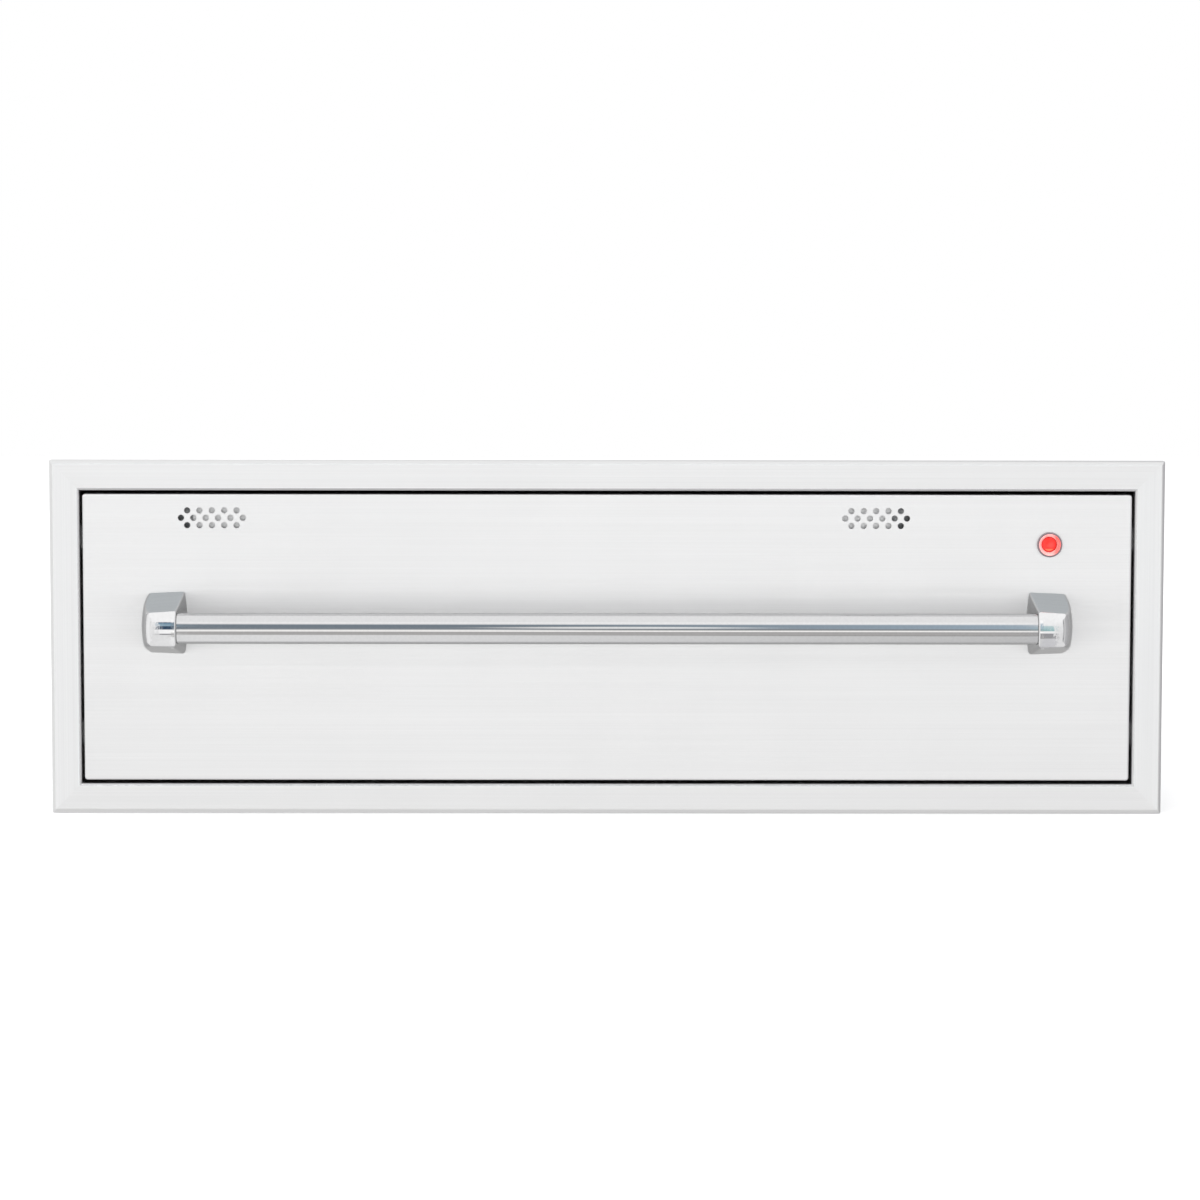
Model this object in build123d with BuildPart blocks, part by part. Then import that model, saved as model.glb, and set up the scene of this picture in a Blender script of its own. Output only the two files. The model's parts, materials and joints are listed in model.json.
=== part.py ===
from build123d import *
import os

# Built-in warming drawer, millimetres.
# +X is right as seen from the front, +Y runs into the cabinet, +Z is up.
# The origin is the centre of the cabinet cut-out, on the face of the cabinet.

os.makedirs("parts", exist_ok=True)

# ---------------------------------------------------------------- dimensions
SHEET = 1.2                      # thickness of the outer sheets

# trim frame
FACE_W, FACE_H = 927.0, 295.0    # outside of the trim face
OPEN_W, OPEN_H = 877.0, 245.0    # opening in the trim face
FRONT = -13.0                    # y of the trim's front plane
LAP = 15.0                       # how far the inner return runs back
BEND_OUT, BEND_IN = 3.75, 2.3    # outside radii of the two front bends
HEM = 12.0                       # width of the hem that bears on the cabinet

# drawer front
PANEL_W, PANEL_H = 872.0, 239.5
PANEL_D = 20.0                   # depth of the folded edges
PANEL_BACK = FRONT + PANEL_D     # y = 7
BACKING_Y = PANEL_BACK - SHEET   # front of the backing panel

# vents
VENT_Z = 99.8
VENT_X = (-328.3, 223.4)
VENT_R, VENT_PITCH, VENT_ROW = 2.6, 10.26, 6.14
SHIELD_X = (-344.5, 237.0)

# pilot lamp
LAMP_X, LAMP_Z = 367.8, 78.15
LAMP_HOLE_R = 9.1

# handle
BAR_R, BAR_WALL = 12.7, 1.5
BAR_Z = 12.3
BAR_OUT = 50.0                   # bar axis in front of the drawer face
BAR_Y = FRONT - BAR_OUT
BAR_END = 361.0
BRACKET_X = 367.0
BRACKET_IN, BRACKET_OUT = 352.6, 372.6
BRACKET_BASE_IN, BRACKET_BASE_OUT = 349.1, 385.6
BRACKET_H_IN, BRACKET_H_OUT = 26.1, 24.6   # half heights on the drawer face
NOSE_D, NOSE_R = 67.0, 17.0
CREASE_D, CREASE_H = 59.0, 14.4
BELLY, BELLY_IN = 74.0, 150.0    # radii of the sides as seen from the front
HANDLE_SCREW_DZ = 14.0

# casing
CAS_IN_X, CAS_IN_Z = OPEN_W / 2 + SHEET, OPEN_H / 2 + SHEET   # 439.7, 123.7
CAS_X, CAS_Z = CAS_IN_X + SHEET, CAS_IN_Z + SHEET             # 440.9, 124.9
CAS_FRONT, CAS_BACK = 0.5, 559.8
STEP_Y = (100.0, 113.0)          # the top steps down here, out of sight behind the trim
TOP_Z = 114.5                    # outside of the lowered top
BACK_FLANGE = 12.0
CAB_SCREW_Y, CAB_SCREW_Z, CAB_SCREW_R = (60.0, 480.0), (-95.0, 95.0), 2.75

# drawer chassis
DR_X = CAS_IN_X - 12.7           # 427.0, outside of the drawer sides
DR_BACK = 500.0
DR_FLOOR = -115.7                # underside of the drawer floor
DECK_Z = 104.0                   # top of the deck
FLANGE = 14.0

# slides
SL_Z, SL_L = -30.0, 450.0
SL_OUT_Y, SL_MID_Y, SL_IN_Y = 18.0, 14.0, 12.0
TRAVEL = 420.0

# warming tub
TUB_X, TUB_Y = (-335.0, 228.0), (42.0, 452.0)
TUB_FLOOR, TUB_T, TUB_R = -85.0, 1.0, 20.0
TUB_FLANGE = 12.0
RACK_Z = -50.0                   # underside of the diffuser

# heating element
EL_Z, EL_R = -72.0, 3.25
EL_Y = (110.0, 190.0, 300.0, 380.0)
EL_LEFT, EL_RIGHT, EL_END = -240.0, 130.0, 258.0

# controls
PART_X = 246.0                   # partition beside the tub
KNOB_X, KNOB_Y = 335.0, 75.0

# supply
BOX_X, BOX_Z = (290.0, 390.0), (-105.0, -35.0)
BOX_FRONT = 514.0
GLAND_X, GLAND_Z = 366.0, -70.0


def front_plane(y):
    """Upright plane at y; local x is X and local y is Z. Positive extrusions run towards -Y."""
    return Plane.XZ.offset(-y)


def slab(x, y, z, mode=Mode.ADD):
    """A block between two corners, in the part being built."""
    with Locations(((x[0] + x[1]) / 2, (y[0] + y[1]) / 2, (z[0] + z[1]) / 2)):
        Box(x[1] - x[0], y[1] - y[0], z[1] - z[0], mode=mode)


def pan_screws(builder, plane, points, head_r, head_h, shank_r, shank_l):
    """Pan-head screws with a crossed recess, heads along the plane's normal."""
    with BuildSketch(plane) as heads:
        with Locations(*points):
            Circle(head_r)
    extrude(heads.sketch, amount=head_h)
    crowns = [
        e
        for e in builder.edges().filter_by(GeomType.CIRCLE)
        if abs((e.arc_center - plane.origin).dot(plane.z_dir) - head_h) < 0.01 and abs(e.radius - head_r) < 0.01
    ]
    fillet(crowns, head_h * 0.45)
    with BuildSketch(plane.offset(head_h)) as recess:
        with Locations(*points):
            Rectangle(head_r * 1.0, head_r * 0.24)
            Rectangle(head_r * 0.24, head_r * 1.0)
    extrude(recess.sketch, amount=-head_h * 0.6, mode=Mode.SUBTRACT)
    with BuildSketch(plane) as shanks:
        with Locations(*points):
            Circle(shank_r)
    extrude(shanks.sketch, amount=-shank_l)


def side_plane(x, s):
    """Upright plane at x that faces outwards on side s; local x is Y, local y is s times Z."""
    return Plane(origin=(x, 0, 0), x_dir=(0, 1, 0), z_dir=(s, 0, 0))


def span(s, a, b):
    """An x range on the left (s = -1) or the right (s = 1)."""
    return (min(s * a, s * b), max(s * a, s * b))


SIDES = (("left", -1), ("right", 1))

# fastener positions that more than one piece shares
deck_screw_xy = [(s * 419.0, y) for s in (-1, 1) for y in (30.0, 175.0, 325.0, 470.0)]
floor_rivet_xy = [(s * 419.0, y) for s in (-1, 1) for y in (40.0, 180.0, 320.0, 460.0)]
front_screw_xz = [(s * 419.0, z) for s in (-1, 1) for z in (-92.0, -30.0, 32.0, 88.0)]
slide_rivet_y = (45.0, 165.0, 325.0, 445.0)
slide_screw_y = (40.0, 150.0, 310.0, 440.0)
bracket_screw_xz = [
    (s * BRACKET_X, BAR_Z + d) for s in (-1, 1) for d in (-HANDLE_SCREW_DZ, HANDLE_SCREW_DZ)
]
plate_screw_xy = [(KNOB_X + dx, KNOB_Y + dy) for dx in (-56.0, 56.0) for dy in (-22.0, 22.0)]
cover_screw_xz = [(BOX_X[0] + 7.0, BOX_Z[1] - 7.0), (BOX_X[1] - 7.0, BOX_Z[0] + 7.0)]

# ================================================================ fixed body
# ---- trim frame: a folded channel ring with a hem behind it
with BuildPart() as trim_hollow:
    with BuildSketch(front_plane(FRONT + SHEET)):
        Rectangle(FACE_W - 2 * SHEET, FACE_H - 2 * SHEET)
        Rectangle(OPEN_W + 2 * SHEET, OPEN_H + 2 * SHEET, mode=Mode.SUBTRACT)
    extrude(amount=FRONT + 2 * SHEET)
    front_face = trim_hollow.faces().sort_by(Axis.Y)[0]
    outer_edges = front_face.outer_wire().edges()
    inner_edges = front_face.inner_wires()[0].edges()
    fillet(outer_edges, BEND_OUT - SHEET)
    front_face = trim_hollow.faces().sort_by(Axis.Y)[0]
    fillet(front_face.inner_wires()[0].edges(), BEND_IN - SHEET)

with BuildPart() as trim_frame:
    with BuildSketch(front_plane(FRONT)):
        Rectangle(FACE_W, FACE_H)
        Rectangle(OPEN_W, OPEN_H, mode=Mode.SUBTRACT)
    extrude(amount=FRONT)
    fillet(trim_frame.edges().filter_by(Axis.Y).group_by(lambda e: round(abs(e.center().X)))[-1], 0.8)
    front_face = trim_frame.faces().sort_by(Axis.Y)[0]
    fillet(front_face.outer_wire().edges(), BEND_OUT)
    front_face = trim_frame.faces().sort_by(Axis.Y)[0]
    fillet(front_face.inner_wires()[0].edges(), BEND_IN)
    with BuildSketch(front_plane(0)):
        Rectangle(OPEN_W + 2 * SHEET, OPEN_H + 2 * SHEET)
        Rectangle(OPEN_W, OPEN_H, mode=Mode.SUBTRACT)
    extrude(amount=-LAP)
    add(trim_hollow.part, mode=Mode.SUBTRACT)
    with BuildSketch(front_plane(-SHEET)):
        Rectangle(FACE_W - 2 * HEM, FACE_H - 2 * HEM)
        Rectangle(OPEN_W + 2 * SHEET, OPEN_H + 2 * SHEET, mode=Mode.SUBTRACT)
    extrude(amount=-SHEET, mode=Mode.SUBTRACT)
trim_frame.part.label = "trim_frame"
export_step(trim_frame.part, "parts/trim_frame.step")

# ---- casing sheets, butt welded along their corners
screw_y = CAS_BACK - 6.0
slope = (CAS_Z - TOP_Z) / (STEP_Y[1] - STEP_Y[0])
lean = SHEET * ((1 + slope**2) ** 0.5 - 1) / slope   # how far a bend's inside lies ahead of its outside
TOP_IN = TOP_Z - SHEET
# the underside of the top, from the front to the back
under = [
    (CAS_FRONT, CAS_IN_Z),
    (STEP_Y[0] - lean, CAS_IN_Z),
    (STEP_Y[1] - lean, TOP_IN),
    (CAS_BACK, TOP_IN),
]

with BuildPart() as casing_top:
    with BuildSketch(Plane.YZ.offset(-CAS_X)) as section:
        with BuildLine():
            Polyline(
                *under, (CAS_BACK, TOP_Z), (STEP_Y[1], TOP_Z), (STEP_Y[0], CAS_Z), (CAS_FRONT, CAS_Z),
                close=True,
            )
        make_face()
        for y, z, radius in (
            (*under[1], 1.8), (*under[2], 3.0), (STEP_Y[0], CAS_Z, 3.0), (STEP_Y[1], TOP_Z, 1.8),
        ):
            fillet(section.vertices().sort_by_distance((y, z, 0))[0], radius)
    extrude(amount=2 * CAS_X)
    with BuildSketch(Plane.XY.offset(TOP_Z - 5)):
        with Locations((-300, screw_y), (0, screw_y), (300, screw_y)):
            Circle(1.9)
    extrude(amount=10, mode=Mode.SUBTRACT)
casing_top.part.label = "casing_top"
export_step(casing_top.part, "parts/casing_top.step")

with BuildPart() as casing_bottom:
    slab((-CAS_X, CAS_X), (CAS_FRONT, CAS_BACK), (-CAS_Z, -CAS_IN_Z))
casing_bottom.part.label = "casing_bottom"
export_step(casing_bottom.part, "parts/casing_bottom.step")

for side, s in SIDES:
    with BuildPart() as casing_side:
        with BuildSketch(Plane.YZ.offset(min(s * CAS_IN_X, s * CAS_X))) as section:
            with BuildLine():
                Polyline(*under, (CAS_BACK, -CAS_IN_Z), (CAS_FRONT, -CAS_IN_Z), close=True)
            make_face()
            for y, z, radius in ((*under[1], 1.8), (*under[2], 3.0)):
                fillet(section.vertices().sort_by_distance((y, z, 0))[0], radius)
        extrude(amount=SHEET)
        with BuildSketch(Plane.YZ.offset(s * CAS_IN_X - 5)):
            with Locations(*[(y, z) for y in CAB_SCREW_Y for z in CAB_SCREW_Z]):
                Circle(CAB_SCREW_R)
            with Locations(*[(y, SL_Z) for y in slide_rivet_y]):
                Circle(2.1)
            with Locations((screw_y, -60), (screw_y, 60)):
                Circle(1.9)
        extrude(amount=10, mode=Mode.SUBTRACT)
    casing_side.part.label = f"casing_{side}"
    export_step(casing_side.part, f"parts/casing_{side}.step")

# the back is a pan that stands inside the other four sheets, its flanges forward
with BuildPart() as casing_back:
    slab((-CAS_IN_X, CAS_IN_X), (CAS_BACK - BACK_FLANGE, CAS_BACK), (-CAS_IN_Z, TOP_IN))
    fillet(casing_back.faces().sort_by(Axis.Y)[-1].edges(), 1.6)
    slab(
        (-CAS_IN_X + SHEET, CAS_IN_X - SHEET),
        (CAS_BACK - BACK_FLANGE, CAS_BACK - SHEET),
        (-CAS_IN_Z + SHEET, TOP_IN - SHEET),
        mode=Mode.SUBTRACT,
    )
    # ventilation slots and the gland hole
    with BuildSketch(front_plane(CAS_BACK - 3)):
        with Locations((-330, 20)):
            with GridLocations(16, 1, 9, 1):
                SlotOverall(70, 5, rotation=90)
        with Locations((GLAND_X, GLAND_Z)):
            Circle(10.2)
    extrude(amount=-6, mode=Mode.SUBTRACT)
    # screw holes in the top and side flanges
    with BuildSketch(Plane.XY.offset(TOP_IN - 5)):
        with Locations((-300, screw_y), (0, screw_y), (300, screw_y)):
            Circle(1.9)
    extrude(amount=10, mode=Mode.SUBTRACT)
    with BuildSketch(Plane.YZ.offset(-CAS_X - 5)):
        with Locations((screw_y, -60), (screw_y, 60)):
            Circle(1.9)
    extrude(amount=2 * CAS_X + 10, mode=Mode.SUBTRACT)
casing_back.part.label = "casing_back"
export_step(casing_back.part, "parts/casing_back.step")

# ---- screws that hold the casing back, heads outside, and the two of the junction box cover
with BuildPart() as casing_screws:
    pan_screws(
        casing_screws, Plane.XY.offset(TOP_Z), [(-300, screw_y), (0, screw_y), (300, screw_y)], 3.6, 2.0, 1.8, 6.0
    )
    for s in (-1, 1):
        pan_screws(
            casing_screws, side_plane(s * CAS_X, s), [(screw_y, -60), (screw_y, 60)], 3.6, 2.0, 1.8, 6.0
        )
    pan_screws(casing_screws, front_plane(BOX_FRONT - 1), cover_screw_xz, 3.2, 1.8, 1.5, 7.0)
casing_screws.part.label = "casing_screws"
export_step(casing_screws.part, "parts/casing_screws.step")

# ---- stop tabs on the inner return, and the rubber pads that the front lands on
with BuildPart() as stop_tabs:
    for s in (-1, 1):
        for z in (-82.0, 82.0):
            slab(span(s, 429.5, OPEN_W / 2), (9.0, 9.0 + SHEET), (z - 9, z + 9))
            slab(span(s, OPEN_W / 2 - SHEET, OPEN_W / 2), (9.0, LAP), (z - 9, z + 9))
stop_tabs.part.label = "stop_tabs"
export_step(stop_tabs.part, "parts/stop_tabs.step")

with BuildPart() as stop_bumpers:
    for s in (-1, 1):
        for z in (-82.0, 82.0):
            slab(span(s, 430.0, 436.0), (7.35, 9.0), (z - 6, z + 6))
    fillet(stop_bumpers.faces().group_by(Axis.Y)[0].edges(), 0.5)
stop_bumpers.part.label = "stop_bumpers"
export_step(stop_bumpers.part, "parts/stop_bumpers.step")

# ---- junction box at the back, its cover, terminal block and gland
BACK_IN = CAS_BACK - SHEET         # inside face of the casing back
with BuildPart() as junction_box:
    slab(BOX_X, (BOX_FRONT, BACK_IN), BOX_Z)
    slab(
        (BOX_X[0] + 1, BOX_X[1] - 1),
        (BOX_FRONT, BACK_IN - 1),
        (BOX_Z[0] + 1, BOX_Z[1] - 1),
        mode=Mode.SUBTRACT,
    )
    # ears that the cover screws bite into
    for (x, z), (dx, dz) in zip(cover_screw_xz, ((-1, 1), (1, -1))):
        slab((x - 6 if dx < 0 else x - 5, x + 5 if dx < 0 else x + 6), (BOX_FRONT, BOX_FRONT + 1), (z - 5 if dz > 0 else z - 6, z + 6 if dz > 0 else z + 5))
    with BuildSketch(front_plane(BOX_FRONT - 1)):
        with Locations(*cover_screw_xz):
            Circle(1.6)
    extrude(amount=-4, mode=Mode.SUBTRACT)
    with BuildSketch(front_plane(CAS_BACK - 3)):
        with Locations((GLAND_X, GLAND_Z)):
            Circle(10.2)
    extrude(amount=-6, mode=Mode.SUBTRACT)
junction_box.part.label = "junction_box"
export_step(junction_box.part, "parts/junction_box.step")

with BuildPart() as junction_cover:
    with BuildSketch(front_plane(BOX_FRONT - 1)):
        with Locations(((BOX_X[0] + BOX_X[1]) / 2, (BOX_Z[0] + BOX_Z[1]) / 2)):
            RectangleRounded(BOX_X[1] - BOX_X[0], BOX_Z[1] - BOX_Z[0], 2)
        with Locations(*cover_screw_xz):
            Circle(1.7, mode=Mode.SUBTRACT)
        with Locations((310, -85)):
            Circle(7.0, mode=Mode.SUBTRACT)
    extrude(amount=-1)
junction_cover.part.label = "junction_cover"
export_step(junction_cover.part, "parts/junction_cover.step")

with BuildPart() as terminal_block:
    slab((296, 344), (BACK_IN - 21, BACK_IN - 1), (-62, -44))
    with BuildSketch(front_plane(BACK_IN - 21)):
        with Locations((320, -53)):
            with GridLocations(15, 1, 3, 1):
                Circle(3.2)
    extrude(amount=-6, mode=Mode.SUBTRACT)
    fillet(terminal_block.edges().filter_by(Axis.Y).group_by(lambda e: round(abs(e.center().X - 320)))[-1], 1.5)
terminal_block.part.label = "terminal_block"
export_step(terminal_block.part, "parts/terminal_block.step")

with BuildPart() as cable_gland:
    with BuildSketch(front_plane(CAS_BACK)):
        with Locations((GLAND_X, GLAND_Z)):
            RegularPolygon(13.5, 6, major_radius=False)
    extrude(amount=-6)
    with BuildSketch(front_plane(CAS_BACK)):
        with Locations((GLAND_X, GLAND_Z)):
            Circle(10.0)
    extrude(amount=15)
    with BuildSketch(front_plane(CAS_BACK + 6)):
        with Locations((GLAND_X, GLAND_Z)):
            Circle(11.5)
    extrude(amount=-14)
    fillet(cable_gland.faces().sort_by(Axis.Y)[-1].edges(), 4.0)
    with BuildSketch(front_plane(CAS_BACK - 20)):
        with Locations((GLAND_X, GLAND_Z)):
            Circle(4.2)
    extrude(amount=-60, mode=Mode.SUBTRACT)
    # its lock nut, inside the box
    with BuildSketch(front_plane(BACK_IN - 1)):
        with Locations((GLAND_X, GLAND_Z)):
            RegularPolygon(13.0, 6, major_radius=False)
            Circle(10.05, mode=Mode.SUBTRACT)
    extrude(amount=5)
cable_gland.part.label = "cable_gland"
export_step(cable_gland.part, "parts/cable_gland.step")

# ================================================================ slides
# t is the distance from the drawer side, h the height above the slide axis.
for side, s in SIDES:
    with BuildPart() as slide_cabinet:
        y = (SL_OUT_Y, SL_OUT_Y + SL_L)
        slab(span(s, DR_X + 11.5, DR_X + 12.7), y, (SL_Z - 22.85, SL_Z + 22.85))
        for h in (-1, 1):
            z = sorted((SL_Z + h * 21.65, SL_Z + h * 22.85))
            slab(span(s, DR_X + 3.4, DR_X + 12.7), y, z)
            z = sorted((SL_Z + h * 20.15, SL_Z + h * 22.85))
            slab(span(s, DR_X + 3.4, DR_X + 4.6), y, z)
        with BuildSketch(Plane.YZ.offset(s * (DR_X + 12.1) - 5)):
            with Locations(*[(yy, SL_Z) for yy in slide_rivet_y]):
                Circle(2.1)
            with Locations((105, SL_Z), (385, SL_Z)):
                SlotOverall(14, 6)
        extrude(amount=10, mode=Mode.SUBTRACT)
        fillet(
            [
                e
                for e in slide_cabinet.edges().filter_by(Axis.Y)
                if abs(abs(e.center().Z - SL_Z) - 22.85) < 0.01
            ],
            1.0,
        )
    slide_cabinet.part.label = f"slide_cabinet_{side}"
    export_step(slide_cabinet.part, f"parts/slide_cabinet_{side}.step")

    with BuildPart() as slide_middle:
        y = (SL_MID_Y, SL_MID_Y + SL_L)
        slab(span(s, DR_X + 8.4, DR_X + 9.6), y, (SL_Z - 17.6, SL_Z + 17.6))
        for h in (-1, 1):
            z = sorted((SL_Z + h * 16.4, SL_Z + h * 17.6))
            slab(span(s, DR_X + 1.6, DR_X + 9.6), y, z)
        fillet(
            [
                e
                for e in slide_middle.edges().filter_by(Axis.Y)
                if abs(abs(e.center().Z - SL_Z) - 17.6) < 0.01
                and abs(abs(e.center().X) - DR_X - 9.6) < 0.01
            ],
            1.0,
        )
        with BuildSketch(Plane.YZ.offset(s * (DR_X + 9.0) - 5)):
            with Locations((60, SL_Z), (240, SL_Z), (420, SL_Z)):
                SlotOverall(24, 9)
        extrude(amount=10, mode=Mode.SUBTRACT)
    slide_middle.part.label = f"slide_middle_{side}"
    export_step(slide_middle.part, f"parts/slide_middle_{side}.step")

    with BuildPart() as slide_drawer:
        y = (SL_IN_Y, SL_IN_Y + SL_L)
        slab(span(s, DR_X, DR_X + 1.2), y, (SL_Z - 12.4, SL_Z + 12.4))
        for h in (-1, 1):
            z = sorted((SL_Z + h * 11.2, SL_Z + h * 12.4))
            slab(span(s, DR_X, DR_X + 7.0), y, z)
            z = sorted((SL_Z + h * 11.2, SL_Z + h * 13.6))
            slab(span(s, DR_X + 5.8, DR_X + 7.0), y, z)
        with BuildSketch(Plane.YZ.offset(s * (DR_X + 0.6) - 5)):
            with Locations(*[(yy, SL_Z) for yy in slide_screw_y]):
                Circle(2.0)
            with Locations((95, SL_Z), (375, SL_Z)):
                SlotOverall(14, 6)
        extrude(amount=10, mode=Mode.SUBTRACT)
    slide_drawer.part.label = f"slide_drawer_{side}"
    export_step(slide_drawer.part, f"parts/slide_drawer_{side}.step")


def cage(x, z, width, n, pitch, yc):
    """A retainer strip lying flat at height z, with its row of balls."""
    slab((x - width / 2, x + width / 2), (yc - n * pitch / 2 - 3, yc + n * pitch / 2 + 3), (z - 0.4, z + 0.4))
    with Locations(*[(x, yc + (i - (n - 1) / 2) * pitch, z) for i in range(n)]):
        Sphere(1.85)


with BuildPart() as ball_cages_outer:
    for s in (-1, 1):
        for h in (-1, 1):
            cage(s * (DR_X + 7.8), SL_Z + h * 19.625, 5.0, 8, 12.0, 240.0)
ball_cages_outer.part.label = "ball_cages_outer"
export_step(ball_cages_outer.part, "parts/ball_cages_outer.step")

with BuildPart() as ball_cages_inner:
    for s in (-1, 1):
        for h in (-1, 1):
            cage(s * (DR_X + 3.6), SL_Z + h * 14.4, 3.6, 8, 12.0, 240.0)
ball_cages_inner.part.label = "ball_cages_inner"
export_step(ball_cages_inner.part, "parts/ball_cages_inner.step")

with BuildPart() as slide_rivets:
    for s in (-1, 1):
        points = [(yy, SL_Z) for yy in slide_rivet_y]
        with BuildSketch(Plane.YZ.offset(s * (DR_X + 11.5))):
            with Locations(*points):
                Circle(4.0)
        extrude(amount=-s * 1.4)
        with BuildSketch(Plane.YZ.offset(s * (DR_X + 11.5))):
            with Locations(*points):
                Circle(2.0)
        extrude(amount=s * 3.4)
        with BuildSketch(Plane.YZ.offset(s * CAS_X)):
            with Locations(*points):
                Circle(3.1)
        extrude(amount=s * 1.8)
slide_rivets.part.label = "slide_rivets"
export_step(slide_rivets.part, "parts/slide_rivets.step")

with BuildPart() as slide_screws:
    for s in (-1, 1):
        pan_screws(
            slide_screws, side_plane(s * (DR_X + 1.2), s), [(yy, s * SL_Z) for yy in slide_screw_y], 3.6, 2.0, 1.9, 7.0
        )
slide_screws.part.label = "slide_screws"
export_step(slide_screws.part, "parts/slide_screws.step")

# ================================================================ drawer front
with BuildPart() as front_skin:
    with BuildSketch(front_plane(FRONT)):
        RectangleRounded(PANEL_W, PANEL_H, 2.5)
    extrude(amount=-PANEL_D)
    fillet(front_skin.faces().sort_by(Axis.Y)[0].edges(), 1.8)
    with BuildSketch(front_plane(FRONT + SHEET)):
        RectangleRounded(PANEL_W - 2 * SHEET, PANEL_H - 2 * SHEET, 1.3)
    extrude(amount=-PANEL_D, mode=Mode.SUBTRACT)
    with BuildSketch(front_plane(FRONT - 1)):
        for vx in VENT_X:
            with Locations((vx, VENT_Z)):
                with GridLocations(VENT_PITCH, 1, 6, 1):
                    Circle(VENT_R)
            with Locations((vx, VENT_Z + VENT_ROW), (vx, VENT_Z - VENT_ROW)):
                with GridLocations(VENT_PITCH, 1, 5, 1):
                    Circle(VENT_R)
        with Locations((LAMP_X, LAMP_Z)):
            Circle(LAMP_HOLE_R)
        with Locations(*bracket_screw_xz):
            Circle(3.3)
    extrude(amount=-4, mode=Mode.SUBTRACT)
front_skin.part.label = "front_skin"
export_step(front_skin.part, "parts/front_skin.step")

with BuildPart() as front_shield:
    slab(SHIELD_X, (-6.2, -5.2), (-100, 112))
    slab((SHIELD_X[0], SHIELD_X[0] + 1), (-6.2, BACKING_Y), (-100, 112))
    slab((SHIELD_X[1] - 1, SHIELD_X[1]), (-6.2, BACKING_Y), (-100, 112))
front_shield.part.label = "front_shield"
export_step(front_shield.part, "parts/front_shield.step")

with BuildPart() as front_backing:
    with BuildSketch(front_plane(BACKING_Y)):
        RectangleRounded(PANEL_W - 2 * SHEET - 0.4, PANEL_H - 2 * SHEET - 0.4, 1.1)
        with Locations((LAMP_X, LAMP_Z)):
            Circle(12.0, mode=Mode.SUBTRACT)
        with Locations(*front_screw_xz):
            Circle(1.8, mode=Mode.SUBTRACT)
    extrude(amount=-SHEET)
front_backing.part.label = "front_backing"
export_step(front_backing.part, "parts/front_backing.step")

# ---- pilot lamp, turned parts about an axis along Y
lamp_plane = Plane(origin=(LAMP_X, FRONT, LAMP_Z), x_dir=(1, 0, 0), z_dir=(0, 0, 1))
lamp_axis = Axis((LAMP_X, FRONT, LAMP_Z), (0, 1, 0))

with BuildPart() as lamp_bezel:
    with BuildSketch(lamp_plane):
        with BuildLine():
            Polyline((9.0, -2.2), (9.7, -2.2))
            ThreePointArc((9.7, -2.2), (10.23, -1.98), (10.45, -1.45))
            Polyline((10.45, -1.45), (10.45, 0), (8.9, 0), (8.9, 14), (7.7, 14), (7.7, 4.0), (6.45, 4.0), (6.45, 2.6))
            ThreePointArc((6.45, 2.6), (8.15, 0.35), (9.0, -2.2))
        make_face()
    revolve(axis=lamp_axis)
lamp_bezel.part.label = "lamp_bezel"
export_step(lamp_bezel.part, "parts/lamp_bezel.step")

with BuildPart() as lamp_lens:
    with BuildSketch(lamp_plane):
        with BuildLine():
            ThreePointArc((0, 2.3), (3.3, 2.55), (6.35, 3.3))
            Polyline((6.35, 3.3), (6.35, 4.05), (7.6, 4.05), (7.6, 5.6), (0, 5.6), (0, 2.3))
        make_face()
    revolve(axis=lamp_axis)
lamp_lens.part.label = "lamp_lens"
export_step(lamp_lens.part, "parts/lamp_lens.step")

with BuildPart() as lamp_body:
    with BuildSketch(lamp_plane):
        with BuildLine():
            Polyline((0, 5.7), (7.6, 5.7), (7.6, 14.1), (9.5, 14.1), (9.5, 28), (8.5, 29), (0, 29), (0, 5.7))
        make_face()
    revolve(axis=lamp_axis)
    for dx in (-4.0, 4.0):
        slab((LAMP_X + dx - 0.4, LAMP_X + dx + 0.4), (FRONT + 29, FRONT + 38), (LAMP_Z - 3.1, LAMP_Z + 3.1))
lamp_body.part.label = "lamp_body"
export_step(lamp_body.part, "parts/lamp_body.step")

with BuildPart() as lamp_nut:
    with BuildSketch(front_plane(FRONT + SHEET)):
        with Locations((LAMP_X, LAMP_Z)):
            RegularPolygon(12.0, 6, major_radius=False)
            Circle(9.0, mode=Mode.SUBTRACT)
    extrude(amount=-4)
lamp_nut.part.label = "lamp_nut"
export_step(lamp_nut.part, "parts/lamp_nut.step")

# ---- handle
with BuildPart() as handle_bar:
    with BuildSketch(Plane.YZ.offset(-BAR_END)):
        with Locations((BAR_Y, BAR_Z)):
            Circle(BAR_R)
            Circle(BAR_R - BAR_WALL, mode=Mode.SUBTRACT)
    extrude(amount=2 * BAR_END)
handle_bar.part.label = "handle_bar"
export_step(handle_bar.part, "parts/handle_bar.step")

# ---- handle brackets. The right one's outer side is a surface of revolution about an
# axis along Y, so that it bellies both in plan and as seen from the front; its inner side
# is a shallower one of the same sort. The nose is round in side view, and two sloping
# planes, a little higher on the inner side, cut the top and the bottom.
with BuildPart() as bracket_inner:
    with BuildSketch(Plane.XY.offset(BAR_Z)):
        axis_x = BRACKET_BASE_IN + BELLY_IN
        with BuildLine():
            Polyline(
                (axis_x, FRONT),
                (BRACKET_BASE_IN, FRONT),
                (BRACKET_IN, FRONT - NOSE_D - 10),
                (axis_x, FRONT - NOSE_D - 10),
                close=True,
            )
        make_face()
    revolve(axis=Axis((axis_x, FRONT, BAR_Z), (0, 1, 0)))

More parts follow.
